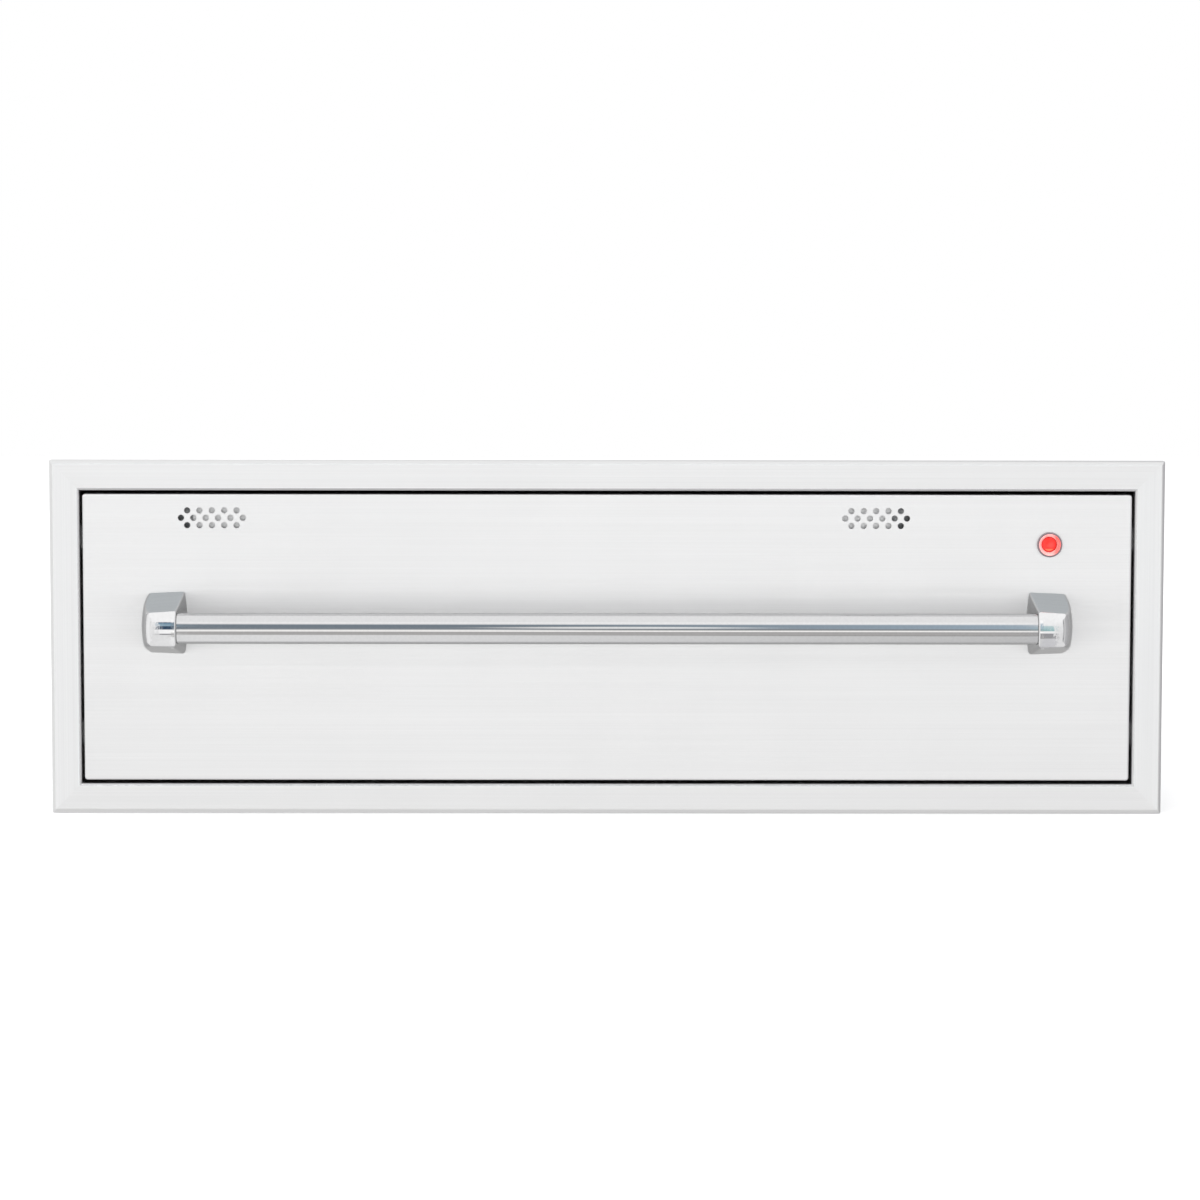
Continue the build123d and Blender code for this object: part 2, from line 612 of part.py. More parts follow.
with BuildPart() as handle_bracket_right:
    axis_x = BRACKET_BASE_OUT - BELLY
    with BuildSketch(Plane.XY.offset(BAR_Z)):
        with BuildLine():
            Polyline(
                (BRACKET_BASE_OUT, FRONT),
                (axis_x, FRONT),
                (axis_x, FRONT - NOSE_D - 10),
                (BRACKET_OUT, FRONT - NOSE_D - 10),
                (BRACKET_OUT, FRONT - NOSE_D + 3),
            )
            EllipticalCenterArc(
                (BRACKET_OUT, FRONT),
                BRACKET_BASE_OUT - BRACKET_OUT,
                NOSE_D - 3,
                start_angle=270,
                arc_size=90,
            )
        make_face()
    revolve(axis=Axis((axis_x, FRONT, BAR_Z), (0, 1, 0)))
    add(bracket_inner.part, mode=Mode.INTERSECT)
    with BuildSketch(Plane.YZ.offset(330)):
        with Locations((FRONT - NOSE_D + NOSE_R, BAR_Z)):
            Circle(NOSE_R)
        with Locations((FRONT - (NOSE_D - NOSE_R) / 2, BAR_Z)):
            Rectangle(NOSE_D - NOSE_R, 100)
    extrude(amount=80, mode=Mode.INTERSECT)
    for s in (1, -1):
        inner = Vector(BRACKET_BASE_IN, FRONT, BAR_Z + s * BRACKET_H_IN)
        outer = Vector(BRACKET_BASE_OUT, FRONT, BAR_Z + s * BRACKET_H_OUT)
        crease = Vector(BRACKET_BASE_IN, FRONT - CREASE_D, BAR_Z + s * (CREASE_H + 0.5))
        across = (outer - inner).normalized()
        away = across.cross(crease - inner).normalized()
        away = away if away.Z * s > 0 else away * -1
        with BuildSketch(Plane(origin=inner, x_dir=across, z_dir=away)):
            Rectangle(300, 300)
        extrude(amount=60, mode=Mode.SUBTRACT)
    # the casting's soft edges: first the four long corners, then the edges round the nose
    nose_edges = [
        e.center() for e in handle_bracket_right.edges() if e.length < 55 and abs(e.center().Y - FRONT) > 0.01
    ]
    for out, up, radius in ((True, True, 3.0), (True, False, 4.0), (False, True, 1.6), (False, False, 3.2)):
        fillet(
            [
                e
                for e in handle_bracket_right.edges()
                if e.length > 50
                and abs(e.center().Y + 43) < 6
                and (e.center().X > 370) == out
                and (e.center().Z > BAR_Z) == up
            ],
            radius,
        )
    fillet(
        list(
            dict.fromkeys(
                min(handle_bracket_right.edges(), key=lambda e: (e.center() - c).length) for c in nose_edges
            )
        ),
        1.1,
    )
    # socket for the bar, tapped holes for the fixing screws, hole for the grub screw
    with BuildSketch(Plane.YZ.offset(BAR_END)):
        with Locations((BAR_Y, BAR_Z)):
            Circle(BAR_R + 0.05)
    extrude(amount=-20, mode=Mode.SUBTRACT)
    with BuildSketch(front_plane(FRONT)):
        with Locations((BRACKET_X, BAR_Z + HANDLE_SCREW_DZ), (BRACKET_X, BAR_Z - HANDLE_SCREW_DZ)):
            Circle(3.0)
    extrude(amount=18, mode=Mode.SUBTRACT)
    with BuildSketch(Plane.XY.offset(BAR_Z - 30)):
        with Locations((357.0, BAR_Y)):
            Circle(2.05)
    extrude(amount=18, mode=Mode.SUBTRACT)
handle_bracket_right.part.label = "handle_bracket_right"
export_step(handle_bracket_right.part, "parts/handle_bracket_right.step")

with BuildPart() as handle_bracket_left:
    mirror(handle_bracket_right.part, about=Plane.YZ)
handle_bracket_left.part.label = "handle_bracket_left"
export_step(handle_bracket_left.part, "parts/handle_bracket_left.step")

with BuildPart() as handle_plates:
    with BuildSketch(front_plane(FRONT + SHEET)):
        with Locations((-BRACKET_X, BAR_Z), (BRACKET_X, BAR_Z)):
            RectangleRounded(34, 62, 3)
        with Locations(*bracket_screw_xz):
            Circle(3.3, mode=Mode.SUBTRACT)
    extrude(amount=-3)
handle_plates.part.label = "handle_plates"
export_step(handle_plates.part, "parts/handle_plates.step")

with BuildPart() as handle_screws:
    with BuildSketch(front_plane(FRONT + SHEET + 3)):
        with Locations(*bracket_screw_xz):
            Circle(5.0)
    extrude(amount=-4)
    fillet(handle_screws.faces().group_by(Axis.Y)[-1].edges(), 0.8)
    with BuildSketch(front_plane(FRONT + SHEET + 7)):
        with Locations(*bracket_screw_xz):
            RegularPolygon(2.0, 6, major_radius=False)
    extrude(amount=2.2, mode=Mode.SUBTRACT)
    with BuildSketch(front_plane(FRONT + SHEET + 3)):
        with Locations(*bracket_screw_xz):
            Circle(2.95)
    extrude(amount=18)
    # grub screws that clamp the bar in its sockets
    with BuildSketch(Plane.XY.offset(BAR_Z - BAR_R - 0.1)):
        with Locations((357.0, BAR_Y), (-357.0, BAR_Y)):
            Circle(2.0)
    extrude(amount=-3.0)
    with BuildSketch(Plane.XY.offset(BAR_Z - BAR_R - 3.1)):
        with Locations((357.0, BAR_Y), (-357.0, BAR_Y)):
            RegularPolygon(1.0, 6, major_radius=False)
    extrude(amount=1.5, mode=Mode.SUBTRACT)
handle_screws.part.label = "handle_screws"
export_step(handle_screws.part, "parts/handle_screws.step")

# ================================================================ drawer chassis
for side, s in SIDES:
    with BuildPart() as drawer_side:
        z0, z1 = DR_FLOOR + SHEET, DECK_Z - SHEET
        slab(span(s, DR_X - SHEET, DR_X), (PANEL_BACK, DR_BACK), (z0, z1))
        slab(span(s, DR_X - FLANGE - SHEET, DR_X), (PANEL_BACK, DR_BACK), (z1 - SHEET, z1))
        slab(span(s, DR_X - FLANGE - SHEET, DR_X), (PANEL_BACK, DR_BACK), (z0, z0 + SHEET))
        slab(span(s, DR_X - FLANGE - SHEET, DR_X), (PANEL_BACK, PANEL_BACK + SHEET), (z0, z1))
        with BuildSketch(Plane.XY.offset(z1 - 3)):
            with Locations(*[p for p in deck_screw_xy if p[0] * s > 0]):
                Circle(1.9)
        extrude(amount=6, mode=Mode.SUBTRACT)
        with BuildSketch(Plane.XY.offset(z0 - 3)):
            with Locations(*[p for p in floor_rivet_xy if p[0] * s > 0]):
                Circle(2.1)
        extrude(amount=6, mode=Mode.SUBTRACT)
        with BuildSketch(front_plane(PANEL_BACK - 3)):
            with Locations(*[p for p in front_screw_xz if p[0] * s > 0]):
                Circle(1.8)
        extrude(amount=-6, mode=Mode.SUBTRACT)
        with BuildSketch(Plane.YZ.offset(s * DR_X - 5)):
            with Locations(*[(yy, SL_Z) for yy in slide_screw_y]):
                Circle(2.0)
        extrude(amount=10, mode=Mode.SUBTRACT)
    drawer_side.part.label = f"drawer_side_{side}"
    export_step(drawer_side.part, f"parts/drawer_side_{side}.step")

with BuildPart() as drawer_floor:
    slab((-DR_X, DR_X), (PANEL_BACK, DR_BACK), (DR_FLOOR, DR_FLOOR + SHEET))
    with BuildSketch(Plane.XY.offset(DR_FLOOR - 3)):
        with Locations(*floor_rivet_xy):
            Circle(2.1)
    extrude(amount=6, mode=Mode.SUBTRACT)
drawer_floor.part.label = "drawer_floor"
export_step(drawer_floor.part, "parts/drawer_floor.step")

with BuildPart() as drawer_back:
    slab(
        (-DR_X + SHEET, DR_X - SHEET),
        (DR_BACK - SHEET, DR_BACK),
        (DR_FLOOR + 2 * SHEET, DECK_Z - 2 * SHEET),
    )
    slab((370 - 13.2, 370 + 13.2), (DR_BACK - 5, DR_BACK + 5), (-60 - 9.2, -60 + 9.2), mode=Mode.SUBTRACT)
drawer_back.part.label = "drawer_back"
export_step(drawer_back.part, "parts/drawer_back.step")

with BuildPart() as deck:
    slab((-DR_X, DR_X), (PANEL_BACK, DR_BACK), (DECK_Z - SHEET, DECK_Z))
    fillet(deck.edges().filter_by(Axis.Z).group_by(Axis.Y)[-1], 4)
    with BuildSketch(Plane.XY.offset(DECK_Z - 5)):
        with Locations(((TUB_X[0] + TUB_X[1]) / 2, (TUB_Y[0] + TUB_Y[1]) / 2)):
            RectangleRounded(
                TUB_X[1] - TUB_X[0] + 2 * TUB_T + 0.4,
                TUB_Y[1] - TUB_Y[0] + 2 * TUB_T + 0.4,
                TUB_R + TUB_T + 0.2,
            )
        with Locations(*deck_screw_xy):
            Circle(1.9)
        with Locations((KNOB_X, KNOB_Y)):
            Circle(5.0)
        with Locations(*plate_screw_xy):
            Circle(1.6)
    extrude(amount=10, mode=Mode.SUBTRACT)
deck.part.label = "deck"
export_step(deck.part, "parts/deck.step")


with BuildPart() as chassis_screws:
    pan_screws(chassis_screws, Plane.XY.offset(DECK_Z), deck_screw_xy, 3.6, 2.0, 1.8, 8.0)
    pan_screws(chassis_screws, Plane.XY.offset(DECK_Z + SHEET), plate_screw_xy, 2.8, 1.6, 1.5, 6.0)
    pan_screws(
        chassis_screws, Plane(origin=(0, PANEL_BACK + SHEET, 0), x_dir=(1, 0, 0), z_dir=(0, 1, 0)),
        [(x, -z) for x, z in front_screw_xz], 3.4, 2.0, 1.7, 7.0,
    )
chassis_screws.part.label = "chassis_screws"
export_step(chassis_screws.part, "parts/chassis_screws.step")

with BuildPart() as floor_rivets:
    with BuildSketch(Plane.XY.offset(DR_FLOOR)):
        with Locations(*floor_rivet_xy):
            Circle(4.0)
    extrude(amount=-1.3)
    with BuildSketch(Plane.XY.offset(DR_FLOOR)):
        with Locations(*floor_rivet_xy):
            Circle(2.0)
    extrude(amount=2 * SHEET)
    with BuildSketch(Plane.XY.offset(DR_FLOOR + 2 * SHEET)):
        with Locations(*floor_rivet_xy):
            Circle(3.0)
    extrude(amount=1.8)
floor_rivets.part.label = "floor_rivets"
export_step(floor_rivets.part, "parts/floor_rivets.step")

# ---- partition between the heated part and the control compartment
with BuildPart() as partition:
    z0, z1 = DR_FLOOR + 2 * SHEET, DECK_Z - SHEET
    slab((PART_X, PART_X + SHEET), (PANEL_BACK + SHEET, DR_BACK - SHEET), (z0 - SHEET, z1))
    slab((PART_X, PART_X + 13), (PANEL_BACK + SHEET, DR_BACK - SHEET), (z1 - SHEET, z1))
    slab((PART_X, PART_X + 13), (PANEL_BACK + SHEET, DR_BACK - SHEET), (z0 - SHEET, z0))
    with BuildSketch(Plane.YZ.offset(PART_X - 5)):
        with Locations((EL_Y[0], EL_Z), (EL_Y[-1], EL_Z)):
            Circle(5.2)
        with Locations((180, -68)):
            Circle(3.6)
    extrude(amount=12, mode=Mode.SUBTRACT)
partition.part.label = "partition"
export_step(partition.part, "parts/partition.step")

# ================================================================ warming tub
tub_cx, tub_cy = (TUB_X[0] + TUB_X[1]) / 2, (TUB_Y[0] + TUB_Y[1]) / 2
tub_w, tub_d = TUB_X[1] - TUB_X[0], TUB_Y[1] - TUB_Y[0]
with BuildPart() as tub_cavity:
    with BuildSketch(Plane.XY.offset(TUB_FLOOR)):
        with Locations((tub_cx, tub_cy)):
            RectangleRounded(tub_w, tub_d, TUB_R)
    extrude(amount=DECK_Z + 10 - TUB_FLOOR)
    fillet(tub_cavity.faces().sort_by(Axis.Z)[0].edges(), 8)

with BuildPart() as warming_tub:
    with BuildSketch(Plane.XY.offset(TUB_FLOOR - TUB_T)):
        with Locations((tub_cx, tub_cy)):
            RectangleRounded(tub_w + 2 * TUB_T, tub_d + 2 * TUB_T, TUB_R + TUB_T)
    extrude(amount=DECK_Z - TUB_FLOOR + TUB_T)
    fillet(warming_tub.faces().sort_by(Axis.Z)[0].edges(), 9)
    with BuildSketch(Plane.XY.offset(DECK_Z)):
        with Locations((tub_cx, tub_cy)):
            RectangleRounded(tub_w + 2 * TUB_FLANGE, tub_d + 2 * TUB_FLANGE, TUB_R + TUB_FLANGE)
    extrude(amount=TUB_T)
    add(tub_cavity.part, mode=Mode.SUBTRACT)
    rim = [
        e
        for e in warming_tub.edges()
        if abs(e.center().Z - DECK_Z - TUB_T) < 0.01
        and TUB_X[0] - 1 < e.center().X < TUB_X[1] + 1
        and TUB_Y[0] - 1 < e.center().Y < TUB_Y[1] + 1
    ]
    fillet(rim, 0.9)
    with BuildSketch(Plane.YZ.offset(TUB_X[1] - 5)):
        with Locations((EL_Y[0], EL_Z), (EL_Y[-1], EL_Z)):
            Circle(4.4)
        with Locations((180, -68)):
            Circle(1.6)
    extrude(amount=12, mode=Mode.SUBTRACT)
warming_tub.part.label = "warming_tub"
export_step(warming_tub.part, "parts/warming_tub.step")

# ---- perforated diffuser, standing on its turned-down edges
with BuildPart() as diffuser:
    x, y = (TUB_X[0] + 2, TUB_X[1] - 2), (TUB_Y[0] + 2, TUB_Y[1] - 2)
    slab(x, y, (RACK_Z, RACK_Z + SHEET))
    fillet(diffuser.edges().filter_by(Axis.Z), TUB_R - 2)
    foot = TUB_FLOOR + 3.2
    slab((x[0], x[0] + SHEET), (y[0] + 22, y[1] - 22), (foot, RACK_Z + SHEET))
    slab((x[1] - SHEET, x[1]), (y[0] + 22, y[0] + 50), (RACK_Z - 8, RACK_Z + SHEET))
    slab((x[1] - SHEET, x[1]), (y[1] - 50, y[1] - 22), (RACK_Z - 8, RACK_Z + SHEET))
    for yy in (y[0], y[1] - SHEET):
        slab((x[0] + 22, x[1] - 22), (yy, yy + SHEET), (foot, RACK_Z + SHEET))
    with BuildSketch(Plane.XY.offset(RACK_Z - 2)):
        with Locations((tub_cx, tub_cy)):
            with GridLocations(34, 34, 16, 11):
                Circle(4.5)
            with Locations((240, 170), (-240, 170)):
                SlotOverall(44, 22)
    extrude(amount=6, mode=Mode.SUBTRACT)
diffuser.part.label = "diffuser"
export_step(diffuser.part, "parts/diffuser.step")

# ---- sheathed heating element: four runs across the tub floor
r1, r2 = (EL_Y[1] - EL_Y[0]) / 2, (EL_Y[2] - EL_Y[1]) / 2
with BuildPart() as heating_element:
    with BuildLine() as element_path:
        a = Line((EL_END, EL_Y[0], EL_Z), (EL_LEFT, EL_Y[0], EL_Z))
        b = ThreePointArc(a @ 1, (EL_LEFT - r1, EL_Y[0] + r1, EL_Z), (EL_LEFT, EL_Y[1], EL_Z))
        c = Line(b @ 1, (EL_RIGHT, EL_Y[1], EL_Z))
        d = ThreePointArc(c @ 1, (EL_RIGHT + r2, EL_Y[1] + r2, EL_Z), (EL_RIGHT, EL_Y[2], EL_Z))
        e = Line(d @ 1, (EL_LEFT, EL_Y[2], EL_Z))
        f = ThreePointArc(e @ 1, (EL_LEFT - r1, EL_Y[2] + r1, EL_Z), (EL_LEFT, EL_Y[3], EL_Z))
        Line(f @ 1, (EL_END, EL_Y[3], EL_Z))
    with BuildSketch(Plane(origin=(EL_END, EL_Y[0], EL_Z), x_dir=(0, 1, 0), z_dir=(-1, 0, 0))):
        Circle(EL_R)
    sweep()
    # threaded cold ends, each with its nut
    with BuildSketch(Plane.YZ.offset(EL_END)):
        with Locations((EL_Y[0], EL_Z), (EL_Y[-1], EL_Z)):
            Circle(2.0)
    extrude(amount=12)
    with BuildSketch(Plane.YZ.offset(EL_END)):
        with Locations((EL_Y[0], EL_Z), (EL_Y[-1], EL_Z)):
            RegularPolygon(4.0, 6, major_radius=False)
    extrude(amount=3.2)
heating_element.part.label = "heating_element"
export_step(heating_element.part, "parts/heating_element.step")

with BuildPart() as element_bushings:
    with BuildSketch(Plane.YZ.offset(TUB_X[1] - 3)):
        with Locations((EL_Y[0], EL_Z), (EL_Y[-1], EL_Z)):
            Circle(5.2)
    extrude(amount=2.9)
    with BuildSketch(Plane.YZ.offset(TUB_X[1] - 3)):
        with Locations((EL_Y[0], EL_Z), (EL_Y[-1], EL_Z)):
            Circle(4.3)
    extrude(amount=8)
    with BuildSketch(Plane.YZ.offset(TUB_X[1] - 8)):
        with Locations((EL_Y[0], EL_Z), (EL_Y[-1], EL_Z)):
            Circle(EL_R + 0.05)
    extrude(amount=20, mode=Mode.SUBTRACT)
element_bushings.part.label = "element_bushings"
export_step(element_bushings.part, "parts/element_bushings.step")

# saddles that hold the element off the tub floor
with BuildPart() as element_clips:
    for x in (-200.0, 60.0):
        for y in EL_Y:
            slab((x - 5, x + 5), (y - 9, y + 9), (TUB_FLOOR, TUB_FLOOR + 1))
            slab((x - 5, x + 5), (y - 4.5, y + 4.5), (TUB_FLOOR, EL_Z + 1))
    with BuildSketch(Plane.YZ.offset(-260)):
        with Locations(*[(y, EL_Z) for y in EL_Y]):
            Circle(EL_R + 0.05)
    extrude(amount=380, mode=Mode.SUBTRACT)
    # and the two that hold the thermostat bulb
    for y in (220.0, 270.0):
        slab((212 - 8, 212 + 8), (y - 4, y + 4), (TUB_FLOOR, TUB_FLOOR + 1))
        slab((212 - 4.2, 212 + 4.2), (y - 4, y + 4), (TUB_FLOOR, -67))
    with BuildSketch(Plane.XZ.offset(-190)):
        with Locations((212, -68)):
            Circle(3.05)
    extrude(amount=-110, mode=Mode.SUBTRACT)
element_clips.part.label = "element_clips"
export_step(element_clips.part, "parts/element_clips.step")

# ---- insulation blankets
with BuildPart() as insulation_floor:
    slab((-409, PART_X - 1), (PANEL_BACK + SHEET + 1, DR_BACK - SHEET - 1), (DR_FLOOR + SHEET, TUB_FLOOR - TUB_T - 0.7))
    fillet(insulation_floor.edges().filter_by(Axis.Z), 3)

with BuildPart() as insulation_walls:
    z = (TUB_FLOOR - TUB_T - 0.5, DECK_Z - SHEET - 3)
    ox, oy = (TUB_X[0] - TUB_T - 0.5, TUB_X[1] + TUB_T + 0.5), (TUB_Y[0] - TUB_T - 0.5, TUB_Y[1] + TUB_T + 0.5)
    slab((ox[0] - 24, ox[0]), (oy[0] - 24, oy[1] + 24), z)
    slab((ox[1], PART_X - 0.5), (oy[0] - 24, oy[1] + 24), z)
    slab((ox[0] + 0.5, ox[1] - 0.5), (oy[0] - 24, oy[0]), z)
    slab((ox[0] + 0.5, ox[1] - 0.5), (oy[1], oy[1] + 24), z)
    with BuildSketch(Plane.YZ.offset(ox[1] - 5)):
        with Locations((EL_Y[0], EL_Z), (EL_Y[-1], EL_Z)):
            Circle(6.0)
        with Locations((180, -68)):
            Circle(4.0)
        with Locations((300, 20)):
            Circle(19.0)
    extrude(amount=40, mode=Mode.SUBTRACT)

with BuildPart() as insulation_blankets:
    add(insulation_floor.part)
    add(insulation_walls.part)
insulation_blankets.part.label = "insulation_blankets"
export_step(insulation_blankets.part, "parts/insulation_blankets.step")

# ================================================================ controls
with BuildPart() as thermostat:
    slab((KNOB_X - 20, KNOB_X + 20), (KNOB_Y - 20, KNOB_Y + 20), (66, 97.8))
    fillet(thermostat.edges().filter_by(Axis.Z), 3)
    # strap that bears on the underside of the deck
    slab((KNOB_X - 12, KNOB_X + 12), (KNOB_Y - 26, KNOB_Y + 26), (97.8, 99.0))
    with BuildSketch(Plane.XY.offset(99.0)):
        with Locations((KNOB_X, KNOB_Y)):
            Circle(8.0)
    extrude(amount=DECK_Z - SHEET - 99.0)
    with BuildSketch(Plane.XY.offset(99.0)):
        with Locations((KNOB_X, KNOB_Y)):
            Circle(4.9)
    extrude(amount=10.2)
    with BuildSketch(Plane.XY.offset(85.0)):
        with Locations((KNOB_X, KNOB_Y)):
            Circle(3.25)
    extrude(amount=40, mode=Mode.SUBTRACT)
thermostat.part.label = "thermostat"
export_step(thermostat.part, "parts/thermostat.step")

with BuildPart() as thermostat_nut:
    with BuildSketch(Plane.XY.offset(DECK_Z + SHEET)):
        with Locations((KNOB_X, KNOB_Y)):
            RegularPolygon(7.0, 6, major_radius=False)
            Circle(4.95, mode=Mode.SUBTRACT)
    extrude(amount=2.6)
thermostat_nut.part.label = "thermostat_nut"
export_step(thermostat_nut.part, "parts/thermostat_nut.step")

with BuildPart() as control_plate:
    with BuildSketch(Plane.XY.offset(DECK_Z)):
        with Locations((KNOB_X, KNOB_Y)):
            RectangleRounded(124, 56, 5)
            Circle(5.0, mode=Mode.SUBTRACT)
        with Locations(*plate_screw_xy):
            Circle(1.6, mode=Mode.SUBTRACT)
    extrude(amount=SHEET)
control_plate.part.label = "control_plate"
export_step(control_plate.part, "parts/control_plate.step")

with BuildPart() as thermostat_spindle:
    with BuildSketch(Plane.XY.offset(86.0)):
        with Locations((KNOB_X, KNOB_Y)):
            Circle(3.0)
    extrude(amount=29.0)
    slab((KNOB_X + 2, KNOB_X + 4), (KNOB_Y - 4, KNOB_Y + 4), (110.2, 116), mode=Mode.SUBTRACT)
thermostat_spindle.part.label = "thermostat_spindle"
export_step(thermostat_spindle.part, "parts/thermostat_spindle.step")

with BuildPart() as control_knob:
    with BuildSketch(Plane.XY.offset(106.2)):
        with Locations((KNOB_X, KNOB_Y)):
            Circle(19.5)
    extrude(amount=3.6)
    fillet(control_knob.faces().sort_by(Axis.Z)[-1].edges(), 1.4)
    with BuildSketch(Plane.XY.offset(109.0)):
        with Locations((KNOB_X, KNOB_Y)):
            SlotOverall(35, 12, rotation=90)
    extrude(amount=10.6, taper=3)
    fillet(control_knob.faces().sort_by(Axis.Z)[-1].edges(), 1.8)
    # pointer line on the grip
    slab((KNOB_X - 0.6, KNOB_X + 0.6), (KNOB_Y + 4, KNOB_Y + 18), (119.0, 121), mode=Mode.SUBTRACT)
    with BuildSketch(Plane.XY.offset(106.0)):
        with Locations((KNOB_X, KNOB_Y)):
            Circle(9.6)
    extrude(amount=3.0, mode=Mode.SUBTRACT)
    with BuildSketch(Plane.XY.offset(106.0)):
        with Locations((KNOB_X, KNOB_Y)):
            Circle(5.4)
    extrude(amount=4.0, mode=Mode.SUBTRACT)
    with BuildSketch(Plane.XY.offset(106.0)):
        with Locations((KNOB_X, KNOB_Y)):
            Circle(3.05)
    extrude(amount=9.2, mode=Mode.SUBTRACT)
control_knob.part.label = "control_knob"
export_step(control_knob.part, "parts/control_knob.step")

# ---- bulb in the tub and the capillary tube to the thermostat
with BuildPart() as thermostat_bulb:
    with BuildSketch(Plane.XZ.offset(-200)):
        with Locations((212, -68)):
            Circle(3.0)
    extrude(amount=-90)
    with BuildLine():
        FilletPolyline(
            (325, 95.5, 78), (325, 180, 78), (325, 180, -68), (212, 180, -68), (212, 200.5, -68),
            radius=14,
        )
    with BuildSketch(Plane(origin=(325, 95.5, 78), x_dir=(1, 0, 0), z_dir=(0, 1, 0))):
        Circle(1.0)
    sweep()
thermostat_bulb.part.label = "thermostat_bulb"
export_step(thermostat_bulb.part, "parts/thermostat_bulb.step")

with BuildPart() as thermal_cutout:
    with BuildSketch(Plane.YZ.offset(TUB_X[1] + TUB_T)):
        with Locations((300, 20)):
            SlotOverall(34, 12)
    extrude(amount=0.8)
    with BuildSketch(Plane.YZ.offset(TUB_X[1] + TUB_T)):
        with Locations((300, 20)):
            Circle(8.5)
    extrude(amount=9.0)
    for dy in (-4.0, 4.0):
        slab((TUB_X[1] + 9.5, TUB_X[1] + 14), (300 + dy - 0.4, 300 + dy + 0.4), (17, 23))
thermal_cutout.part.label = "thermal_cutout"
export_step(thermal_cutout.part, "parts/thermal_cutout.step")

# ---- leads inside the control compartment
def lead(points, radius, r=1.5):
    """A round lead of straight runs joined by tangent arcs."""
    with BuildLine() as route:
        FilletPolyline(*points, radius=radius)
    direction = Vector(*points[1]) - Vector(*points[0])
    with BuildSketch(Plane(origin=points[0], z_dir=direction)) as section:
        Circle(r)
    sweep(section.sketch, path=route.line)


with BuildPart() as lamp_leads:
    lead([(LAMP_X + 4, FRONT + 38, LAMP_Z), (LAMP_X + 4, 70, LAMP_Z), (KNOB_X + 21.5, 76, LAMP_Z)], 9)
with BuildPart() as lamp_leads_2:
    lead([(LAMP_X - 4, FRONT + 38, LAMP_Z), (LAMP_X - 4, 58, LAMP_Z), (KNOB_X + 21.5, 66, LAMP_Z)], 3.5)
with BuildPart() as element_lead_1:
    lead([(340, 65, 65.9), (340, 65, -30), (330, 110, EL_Z), (EL_END + 12.1, 110, EL_Z)], 16)
with BuildPart() as element_lead_2:
    lead([(340, 88, 65.9), (340, 92, -10), (345, 330, EL_Z), (315, 380, EL_Z), (EL_END + 12.1, 380, EL_Z)], 16)
with BuildPart() as supply_lead:
    lead([(348, 80, 64.8), (352, 96, 10), (370, 190, -60), (370, 494.0, -60)], 30, 3.0)
with BuildPart() as internal_leads:
    add(lamp_leads.part)
    add(lamp_leads_2.part)
    add(element_lead_1.part)
    add(element_lead_2.part)
    add(supply_lead.part)
internal_leads.part.label = "internal_leads"
export_step(internal_leads.part, "parts/internal_leads.step")

with BuildPart() as lead_grommets:
    with BuildSketch(Plane.YZ.offset(PART_X - 0.4)):
        with Locations((180, -68)):
            Circle(3.5)
    extrude(amount=2.4)
    with BuildSketch(Plane.YZ.offset(PART_X + SHEET)):
        with Locations((180, -68)):
            Circle(5.5)
        with Locations((EL_Y[0], EL_Z), (EL_Y[-1], EL_Z)):
            Circle(8.0)
    extrude(amount=1.6)
    with BuildSketch(Plane.YZ.offset(PART_X - 0.4)):
        with Locations((EL_Y[0], EL_Z), (EL_Y[-1], EL_Z)):
            Circle(5.1)
    extrude(amount=2.4)
    with BuildSketch(Plane.YZ.offset(PART_X - 5)):
        with Locations((180, -68)):
            Circle(1.1)
        with Locations((EL_Y[0], EL_Z), (EL_Y[-1], EL_Z)):
            Circle(EL_R + 0.05)
    extrude(amount=20, mode=Mode.SUBTRACT)
lead_grommets.part.label = "lead_grommets"
export_step(lead_grommets.part, "parts/lead_grommets.step")

# ---- snap-in connector in the drawer back
with BuildPart() as drawer_connector:
    slab((370 - 13, 370 + 13), (DR_BACK - 6, DR_BACK + 4), (-60 - 9, -60 + 9))
    slab((370 - 16, 370 + 16), (DR_BACK, DR_BACK + 2), (-60 - 12, -60 + 12))
    with BuildSketch(front_plane(DR_BACK + 4)):
        with Locations((370, -60)):
            RectangleRounded(20, 12, 2)
    extrude(amount=7, mode=Mode.SUBTRACT)
    for dx in (-5.0, 0.0, 5.0):
        slab((370 + dx - 0.5, 370 + dx + 0.5), (DR_BACK - 4, DR_BACK + 3), (-63, -57))
drawer_connector.part.label = "drawer_connector"
export_step(drawer_connector.part, "parts/drawer_connector.step")
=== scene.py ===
import json
import math

import bpy
import bmesh
from mathutils import Matrix, Vector


